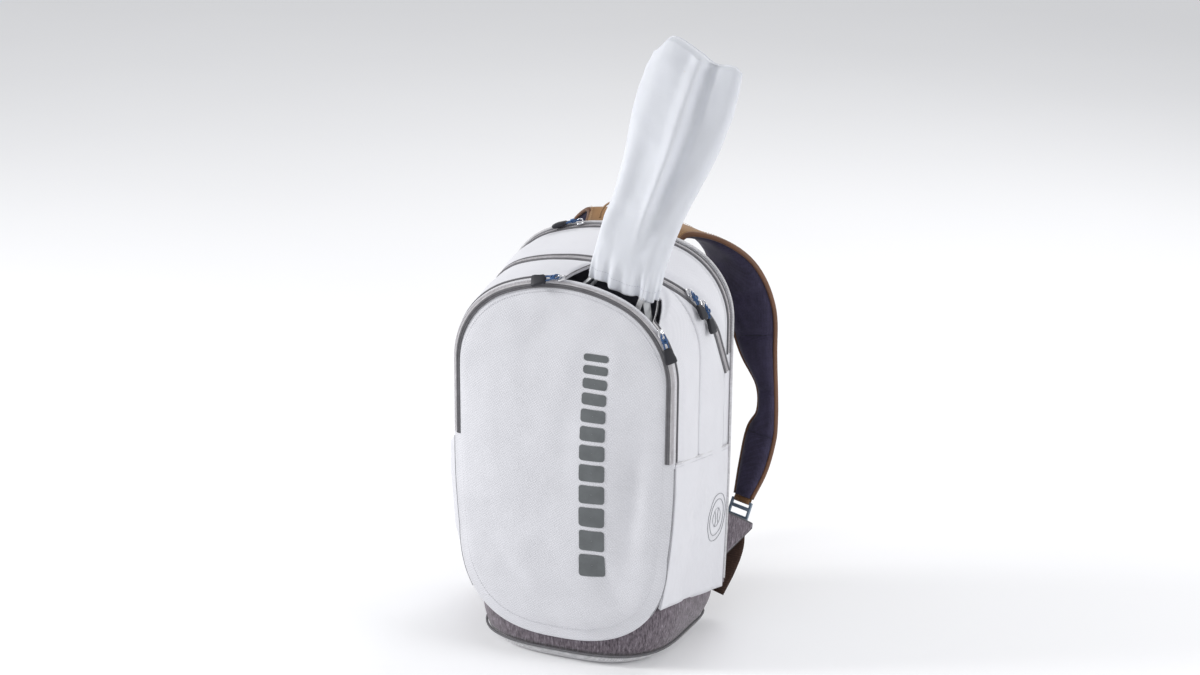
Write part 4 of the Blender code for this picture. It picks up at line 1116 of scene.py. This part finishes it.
def cushion(name, x0, x1, z0, z1, y_front, thick, finish, corner=0.022, grooves=(), columns=28, rows_n=40):
    """A crowned back pad whose edges pull in, with stitched channels across it."""
    cx, cz, hx, hz = (x0 + x1) / 2, (z0 + z1) / 2, (x1 - x0) / 2, (z1 - z0) / 2
    rows = []
    for i in range(rows_n + 1):
        v = -1 + 2 * i / rows_n
        row = []
        for k in range(columns + 1):
            u = -1 + 2 * k / columns
            squeeze_x = 1 - (corner / hx) * 0.30 * abs(v) ** 12
            squeeze_z = 1 - (corner / hz) * 0.30 * abs(u) ** 12
            x, z = cx + u * hx * squeeze_x, cz + v * hz * squeeze_z
            crown = (1 - abs(u) ** 7) * (1 - abs(v) ** 12)
            dip = sum(math.exp(-((z - g) / 0.0032) ** 2) for g in grooves)
            row.append((x, y_front + 0.0012 + thick * crown * (1 - 0.55 * min(1, dip)) * 0.94, z))
        rows.append(row)
    top = grid(name, rows, finish)
    thicken(top, 0.0011)
    return top


def build_back():
    rows = []
    steps = 150
    for depth, inset in ((0.0, 0.0006), (0.0012, -0.0004), (0.006, -0.0006), (0.0092, 0.0004),
                         (0.0100, 0.003)):
        rows.append([(x, BACK_PANEL_Y + depth, z) for x, z in
                     (arch_point(BACK_PANEL_Y, -1 + 2 * i / steps, 0.0505, inset) for i in range(steps + 1))])
    panel = grid("back_panel_cloth", rows, HEATHER, wrap=True, caps=True, sharp=60)
    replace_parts(panel, "back_panel")
    for side, word in ((-1, "left"), (1, "right")):
        x0, x1 = sorted((side * 0.012, side * 0.112))
        pad = cushion(f"back_cushion_{word}", x0, x1, 0.105, 0.440, BACK_FACE_Y, 0.0110, NAVY,
                      grooves=(0.180, 0.255, 0.330, 0.395))
        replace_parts(pad, f"back_pad_{word}")
        build_strap(side, word)
        build_ladder_lock(side, word)
        build_webbing(side, word)
        build_wing(side, word)
    yoke = cushion("yoke_patch", -0.085, 0.085, 0.450, 0.469, BACK_FACE_Y, 0.0026, TAN, corner=0.008,
                   columns=30, rows_n=10)
    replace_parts(yoke, "strap_yoke")
    build_handle()
    build_back_piping()


def build_handle():
    low, high = (Vector(v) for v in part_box("grab_handle"))
    y = (low.y + high.y) / 2
    half = (high.x - low.x) / 2 - 0.0012
    rise = high.z - low.z - 0.0012
    centres = [(half * math.cos(math.pi * i / 30), y, low.z + rise * math.sin(math.pi * i / 30))
               for i in range(31)]
    web = ribbon("grab_handle_web", centres, [(0, 1, 0)] * 31, 0.0026, 0.0012, TAN, "grab_handle")
    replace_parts(web, "grab_handle")


def build_back_piping():
    y = BACK_PANEL_Y - 0.0010
    spine = []
    for i in range(181):
        x, z = arch_point(y, -1 + 2 * i / 180, 0.060, -0.0024)
        spine.append((x, y, z))
    cord = tube("back_edge_piping_cord", spine, 0.0018, PIPING_WHITE, count=10, up=(0, 1, 0))
    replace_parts(cord, "back_edge_piping")


# ---------------------------------------------------------------- the racket and its cover
RACKET_ALONG = (BUTT_POINT - HEAD_CENTRE).normalized()
RACKET_ACROSS = (Vector((1, 0, 0)) - RACKET_ALONG * RACKET_ALONG.x).normalized()
RACKET_OUT = RACKET_ACROSS.cross(RACKET_ALONG)


def at(distance, x=0.0, y=0.0):
    return HEAD_CENTRE + RACKET_ALONG * distance + RACKET_ACROSS * x + RACKET_OUT * y


def build_racket():
    """Hoop, throat and shaft as smooth tubes, with strings, wrapped grip and cap."""
    steps = 120
    hoop = [at(HEAD_HALF_LENGTH * math.cos(2 * math.pi * i / steps),
               HEAD_HALF_WIDTH * math.sin(2 * math.pi * i / steps))
            for i in range(steps)]
    ring = tube("hoop", hoop, 0.0058, PAINT, "racket", 14, closed=True, flat=1.85, up=RACKET_OUT)
    arms = []
    for side in (-1, 1):
        knots = [(0.128, side * 0.082), (0.165, side * 0.061), (0.221, side * 0.0320), (0.262, side * 0.0140),
                 (0.290, side * 0.0070), (0.334, side * 0.0062)]
        spine = [at(*p) for p in curve_through(knots, 8)]
        arms.append(tube("arm", spine, 0.0060, PAINT, "racket", 14, flat=1.75, up=RACKET_OUT))
        stripe = [p + RACKET_OUT * 0.0099 for p in spine[6:22]]
        tube(f"arm_stripe_{'left' if side < 0 else 'right'}", stripe, 0.0021, PAINT_DARK, "racket", 8,
             flat=0.5, up=RACKET_OUT)
        holes = [p + RACKET_OUT * 0.0104 for p in (spine[14], spine[18])]
        for k, hole in enumerate(holes):
            box_piece(f"throat_dot_{'left' if side < 0 else 'right'}_{k}", hole, RACKET_ALONG, RACKET_ACROSS,
                      RACKET_OUT,
                      (0.0022, 0.0018, 0.0006), PAINT_DARK, "racket", 0.0004)
    bridge = [at(0.160 + 0.006 * math.cos(math.pi * u / 2), 0.062 * u) for u in
              (-1, -0.75, -0.5, -0.25, 0, 0.25, 0.5, 0.75, 1)]
    arms.append(tube("bridge", bridge, 0.0050, PAINT, "racket", 12, flat=1.7, up=RACKET_OUT))
    body = joined("racket_hoop_and_throat", [ring, *arms])
    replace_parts(body, "racket_frame")
    strings = []
    a, b = HEAD_HALF_LENGTH - 0.0055, HEAD_HALF_WIDTH - 0.0055
    for i in range(-8, 9):
        x = i * 0.0130
        if abs(x) < b:
            reach = a * math.sqrt(1 - (x / b) ** 2)
            strings.append(tube("main", [at(-reach, x, 0.0003), at(0, x, 0.0003 * (-1) ** i),
                                         at(reach, x, 0.0003)],
                                0.00065, STRING, "racket", 6))
    for i in range(-10, 11):
        d = i * 0.0150
        if abs(d) < a:
            reach = b * math.sqrt(1 - (d / a) ** 2)
            strings.append(tube("cross", [at(d, -reach, -0.0003), at(d, 0, -0.0003), at(d, reach, -0.0003)],
                                0.00065, STRING,
                                "racket", 6))
    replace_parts(joined("racket_strings", strings), "string_bed")
    rows = []
    turns = 11
    for i in range(150):
        t = i / 149
        d = mix(GRIP_START, GRIP_END, t)
        r = mix(0.0150, 0.0162, t) - 0.0007 * (abs(math.sin(math.pi * turns * t)) < 0.22)
        rows.append([at(d, r * 1.06 * math.cos(2 * math.pi * k / 24) * (1
                - 0.03 * math.cos(8 * 2 * math.pi * k / 24)),
                        r * math.sin(2 * math.pi * k / 24)) for k in range(24)])
    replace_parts(grid("grip_overwrap", rows, GRIP, "racket", wrap=True, caps=True), "racket_grip")
    rows = [[at(d, r * 1.06 * math.cos(2 * math.pi * (k + 0.5) / 24),
                r * math.sin(2 * math.pi * (k + 0.5) / 24)) for k in range(24)]
            for d, r in ((GRIP_END, 0.0160), (0.5050, 0.0172), (0.5090, 0.0186), (0.5130, 0.0188),
                         (0.5148, 0.0176), (0.5150, 0.0150))]
    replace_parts(grid("butt_cap_shell", rows, CAP, "racket", wrap=True, caps=True, sharp=50),
                "racket_butt_cap")


# distance from the head's centre, half width, half thickness, sideways shift
COVER_KNOTS = [(0.222, 0.0475, 0.0225, 0.003), (0.262, 0.0470, 0.0240, -0.001),
               (0.300, 0.0465, 0.0245, -0.002),
               (0.345, 0.0470, 0.0250, 0.000), (0.400, 0.0535, 0.0260, 0.003), (0.464, 0.0605, 0.0240, 0.003),
               (0.505, 0.0600, 0.0190, 0.003), (0.534, 0.0570, 0.0110, 0.003)]
COVER_AROUND = 160


def cover_top_lift(c):
    """The top seam's outline: a cut-off left corner, an ear, a dip and a lower right corner."""
    left = -0.022 * smooth((-0.64 - c) / 0.36)
    ear = 0.0060 * math.exp(-((c + 0.52) / 0.40) ** 2)
    dip = -0.0060 * math.exp(-((c - 0.30) / 0.25) ** 2)
    right = -0.0040 * smooth((c - 0.78) / 0.22)
    return float(left + right) + ear + dip


def cover_swell(c, s, a, t, d):
    """Folds of the thin cloth: long ones along the racket, a deep one down its right half, a gathered hem."""
    front = max(0.0, s)
    gather = math.exp(-(t / 0.085) ** 2)
    calm = 0.30 + 0.70 * math.sin(math.pi * min(1.0, t * 1.1))
    folds = calm * (0.0030 * math.sin(3 * a + 0.8 + 1.4 * t) + 0.0022 * math.sin(5 * a + 2.4 - 2.2 * t)
                    + 0.0013 * math.sin(8 * a + 1.0 + 3.0 * t))
    ruffle = gather * (0.0026 * math.sin(15 * a + 1.3) + 0.0014 * math.sin(23 * a))
    line = c - 0.10 - 0.12 * (1 - t)
    crease = 0.0090 * math.exp(-((line - 0.20) / 0.16) ** 2) * float(smooth((t - 0.22) / 0.3)) * front
    ridge = 0.0060 * math.exp(-((line + 0.04) / 0.10) ** 2) * float(smooth((t - 0.15) / 0.3)) * front
    sag = 0.0026 * fuzz(c * 0.05, s * 0.02, d, 22, 1.5) + 0.0014 * fuzz(c * 0.05, s * 0.03, d, 52, 4.5)
    return folds + ruffle + sag + ridge - crease


def build_cover():
    """The sleeve: long folds that run with the racket, a gathered hem, and a flat seam at the top."""
    knots = [tuple(float(v) for v in p) for p in curve_through(COVER_KNOTS, 18)]
    top = knots[-1]
    rows = []
    for d, half_wide, half_thick, shift in knots:
        t = (d - HEM) / (top[0] - HEM)
        row = []
        for a, c, s in around(COVER_AROUND):
            swell = cover_swell(c, s, a, t, d)
            x = shift + (half_wide + swell * 0.5) * signed_power(c, 0.85)
            y = (half_thick + swell) * signed_power(s, 0.85)
            lift = cover_top_lift(c) * float(smooth((t - 0.72) / 0.28))
            hem_wave = math.exp(-(t / 0.085) ** 2) * 0.0020 * math.sin(7 * a + 0.5)
            row.append(at(d + lift + hem_wave, x, y))
        rows.append(row)
    for close, rise in ((0.45, 0.0026), (0.06, 0.0034)):
        row = []
        for a, c, s in around(COVER_AROUND):
            row.append(at(top[0] + cover_top_lift(c) + rise, top[3] + top[1] * 0.985 * signed_power(c, 0.85),
                          top[2] * close * signed_power(s, 0.85)))
        rows.append(row)
    cover = grid("cover_sleeve", rows, COVER, "handle_cover", wrap=True)
    thicken(cover, 0.0007)
    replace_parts(cover, "handle_cover")
    seam = [rows[6][k] + RACKET_OUT * 0.0002 for k in range(COVER_AROUND)]
    seam.append(seam[0])
    stitches("cover_hem_stitching", seam, COVER_THREAD, "handle_cover")


def build_tether():
    spots = [at(HEM + 0.004, 0.036, 0.0200), at(HEM - 0.018, 0.0350, 0.0190), at(HEM - 0.040, 0.0345, 0.0172)]
    tape = ribbon("cover_tether_tape", curve_through([tuple(p) for p in spots], 8),
                  [tuple(RACKET_ACROSS)] * 17, 0.0035, 0.0004,
                  PIPING_WHITE, "handle_cover")
    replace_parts(tape, "cover_tether")


# ---------------------------------------------------------------- prints
def print_patch(name, outline_points, finish, lift=0.0006):
    """A flat print laid on the front panel: a closed (x, z) outline filled by a fan of quads."""
    middle = np.mean(outline_points, axis=0)
    rows = []
    for share in (0.02, 0.25, 0.5, 0.75, 1.0):
        rows.append([(x, front_face(x, z) - panel_relief(x, z, 0.5) - lift, z) for x, z in
                     ((middle[0] + (p[0] - middle[0]) * share, middle[1] + (p[1] - middle[1]) * share)
                      for p in outline_points)])
    return grid(name, rows, finish, wrap=True, caps=False)


def rounded_bar(cx, cz, half_w, half_h, radius, count=10, detail=8):
    outline_points = []
    corners = ((1, 1), (-1, 1), (-1, -1), (1, -1))
    for q, (sx, sz) in enumerate(corners):
        for k in range(count):
            a = math.pi / 2 * (q + k / (count - 1))
            outline_points.append((cx + sx * (half_w - radius) + radius * math.cos(a),
                                   cz + sz * (half_h - radius) + radius * math.sin(a)))
        nx, nz = corners[(q + 1) % 4]
        last = (cx + sx * (half_w - radius) + radius * math.cos(math.pi / 2 * (q + 1)),
                cz + sz * (half_h - radius) + radius * math.sin(math.pi / 2 * (q + 1)))
        goal = (cx + nx * (half_w - radius) + radius * math.cos(math.pi / 2 * (q + 1)),
                cz + nz * (half_h - radius) + radius * math.sin(math.pi / 2 * (q + 1)))
        for k in range(1, detail):
            outline_points.append((mix(last[0], goal[0], k / detail), mix(last[1], goal[1], k / detail)))
    return outline_points


GRAPHIC_X, GRAPHIC_LOW, GRAPHIC_HALF_WIDTH, GRAPHIC_BARS = 0.049, 0.128, 0.0165, 12
GRAPHIC_TALLEST, GRAPHIC_SHORTEST, GRAPHIC_GAP, GRAPHIC_CORNER = 0.0150, 0.0045, 0.0055, 0.0040
BADGE_CENTRE = (0.045, 0.163)  # y, z on the right side panel
BADGE_RINGS = ((0.0320, 0.00042), (0.0245, 0.00042), (0.0125, 0.0003))  # radius, half line width


def build_prints():
    """A plain upright graphic on the front: a rising row of rounded bars. A plain ring badge on the side."""
    bars = []
    z = GRAPHIC_LOW
    for i in range(GRAPHIC_BARS):
        half_h = mix(GRAPHIC_TALLEST, GRAPHIC_SHORTEST, i / (GRAPHIC_BARS - 1))
        z += half_h
        bars.append(print_patch("bar", rounded_bar(GRAPHIC_X, z, GRAPHIC_HALF_WIDTH, half_h, GRAPHIC_CORNER),
                                PRINT))
        z += half_h + GRAPHIC_GAP
    joined("front_bar_graphic", bars)
    rings = []
    cy, cz = BADGE_CENTRE
    for radius, width in BADGE_RINGS:
        spine = []
        for i in range(73):
            a = 2 * math.pi * i / 72
            y, z = cy + radius * math.cos(a), cz + radius * math.sin(a)
            spine.append((side_surface(y, z) + 0.0004, y, z))
        rings.append(tube("ring", spine[:-1], width, PRINT_THIN, closed=True, count=6, up=(1, 0, 0)))
    for bend in (-1, 1):
        spine = []
        for i in range(21):
            t = -1 + 2 * i / 20
            y, z = cy + bend * (0.0030 + 0.0042 * t * t), cz + 0.0112 * t
            spine.append((side_surface(y, z) + 0.0004, y, z))
        rings.append(tube("seam_line", spine, 0.00035, PRINT_THIN, count=6, up=(1, 0, 0)))
    joined("side_ring_badge", rings)


def side_surface(y, z):
    """X of the right side panel's face."""
    v = (y - SIDE_FRONT_Y) / (SIDE_BACK_Y - SIDE_FRONT_Y)
    low = band_top(y) - 0.001
    return half_width(y, z) + side_lift(1, y, z, v, (z - low) / (mix(SEAM_FRONT, SEAM_BACK, v) - low))


# ---------------------------------------------------------------- camera, light and floor
CAMERA_AZIMUTH, CAMERA_ELEVATION, CAMERA_ROLL = math.radians(22), math.radians(18.5), math.radians(0.45)
CAMERA_DISTANCE, CAMERA_LENS = 3.0819, 72
CAMERA_TARGET = Vector((0.0087, 0, 0.4054))


def build_camera():
    back = Vector((math.sin(CAMERA_AZIMUTH) * math.cos(CAMERA_ELEVATION),
                   -math.cos(CAMERA_AZIMUTH) * math.cos(CAMERA_ELEVATION), math.sin(CAMERA_ELEVATION)))
    right = Vector((math.cos(CAMERA_AZIMUTH), math.sin(CAMERA_AZIMUTH), 0))
    up = back.cross(right)
    c, s = math.cos(CAMERA_ROLL), math.sin(CAMERA_ROLL)
    data = bpy.data.cameras.new("camera")
    data.lens, data.sensor_width, data.clip_end = CAMERA_LENS, 36, 30
    camera = bpy.data.objects.new("camera", data)
    place = Matrix((right * c + up * s, up * c - right * s, back)).transposed().to_4x4()
    place.translation = CAMERA_TARGET + back * CAMERA_DISTANCE
    camera.matrix_world = place
    scene.collection.objects.link(camera)
    scene.camera = camera


def area_light(name, position, target, size, energy, colour=(1, 1, 1)):
    data = bpy.data.lights.new(name, "AREA")
    data.shape, data.size, data.energy, data.color = "DISK", size, energy, colour
    light = bpy.data.objects.new(name, data)
    light.location = position
    light.rotation_euler = (Vector(target) - Vector(position)).to_track_quat("-Z", "Y").to_euler()
    scene.collection.objects.link(light)


def build_studio():
    floor_mesh = bpy.data.meshes.new("floor")
    floor_mesh.from_pydata([(-9, -9, 0), (9, -9, 0), (9, 9, 0), (-9, 9, 0)], [], [(0, 1, 2, 3)])
    floor = bpy.data.objects.new("floor", floor_mesh)
    finish = Finish("pale_floor", (0.93, 0.93, 0.94), 0.9, specular=0.1)
    finish.colour(finish.ramp(finish.noise(1.2, 2),
                              [(0.3, (0.925, 0.925, 0.935)), (0.7, (0.94, 0.94, 0.95))]))
    floor_mesh.materials.append(finish.mat)
    scene.collection.objects.link(floor)
    world = bpy.data.worlds.new("studio")
    world.use_nodes = True
    world.node_tree.nodes["Background"].inputs["Color"].default_value = (0.97, 0.98, 1.0, 1)
    world.node_tree.nodes["Background"].inputs["Strength"].default_value = 0.66
    scene.world = world
    area_light("key", (-2.7, -1.3, 1.7), (0, 0, 0.3), 0.9, 62)
    area_light("fill", (2.8, 0.1, 1.5), (0, 0, 0.3), 1.2, 26)
    area_light("rim", (0.5, 2.2, 2.4), (0, 0, 0.4), 1.4, 22)
    scene.view_settings.view_transform = "Standard"


def finish_cad_nodes():
    """Carried-over solids get a worked material."""
    for name in HIDDEN_WALLS:
        slots = nodes[name].material_slots
        if slots:
            slots[0].material = LINING[0]
        else:
            nodes[name].data.materials.append(LINING[0])


build_camera()
build_studio()
build_walls()
build_front_panel()
for side_sign, side_word in ((-1, "left"), (1, "right")):
    side_panel(side_sign, side_word)
build_base()
build_racket_zip()
build_zip("main", MAIN_ZIP_END, lambda x, z: main_zip_y(z), *MAIN_ZIP_WIDTHS)
build_zip("laptop", LAPTOP_ZIP_END, lambda x, z: LAPTOP_ZIP_Y, *LAPTOP_ZIP_WIDTHS)
for slider in SLIDERS:
    build_slider(slider)
build_back()
build_racket()
build_cover()
build_tether()
build_prints()
finish_cad_nodes()
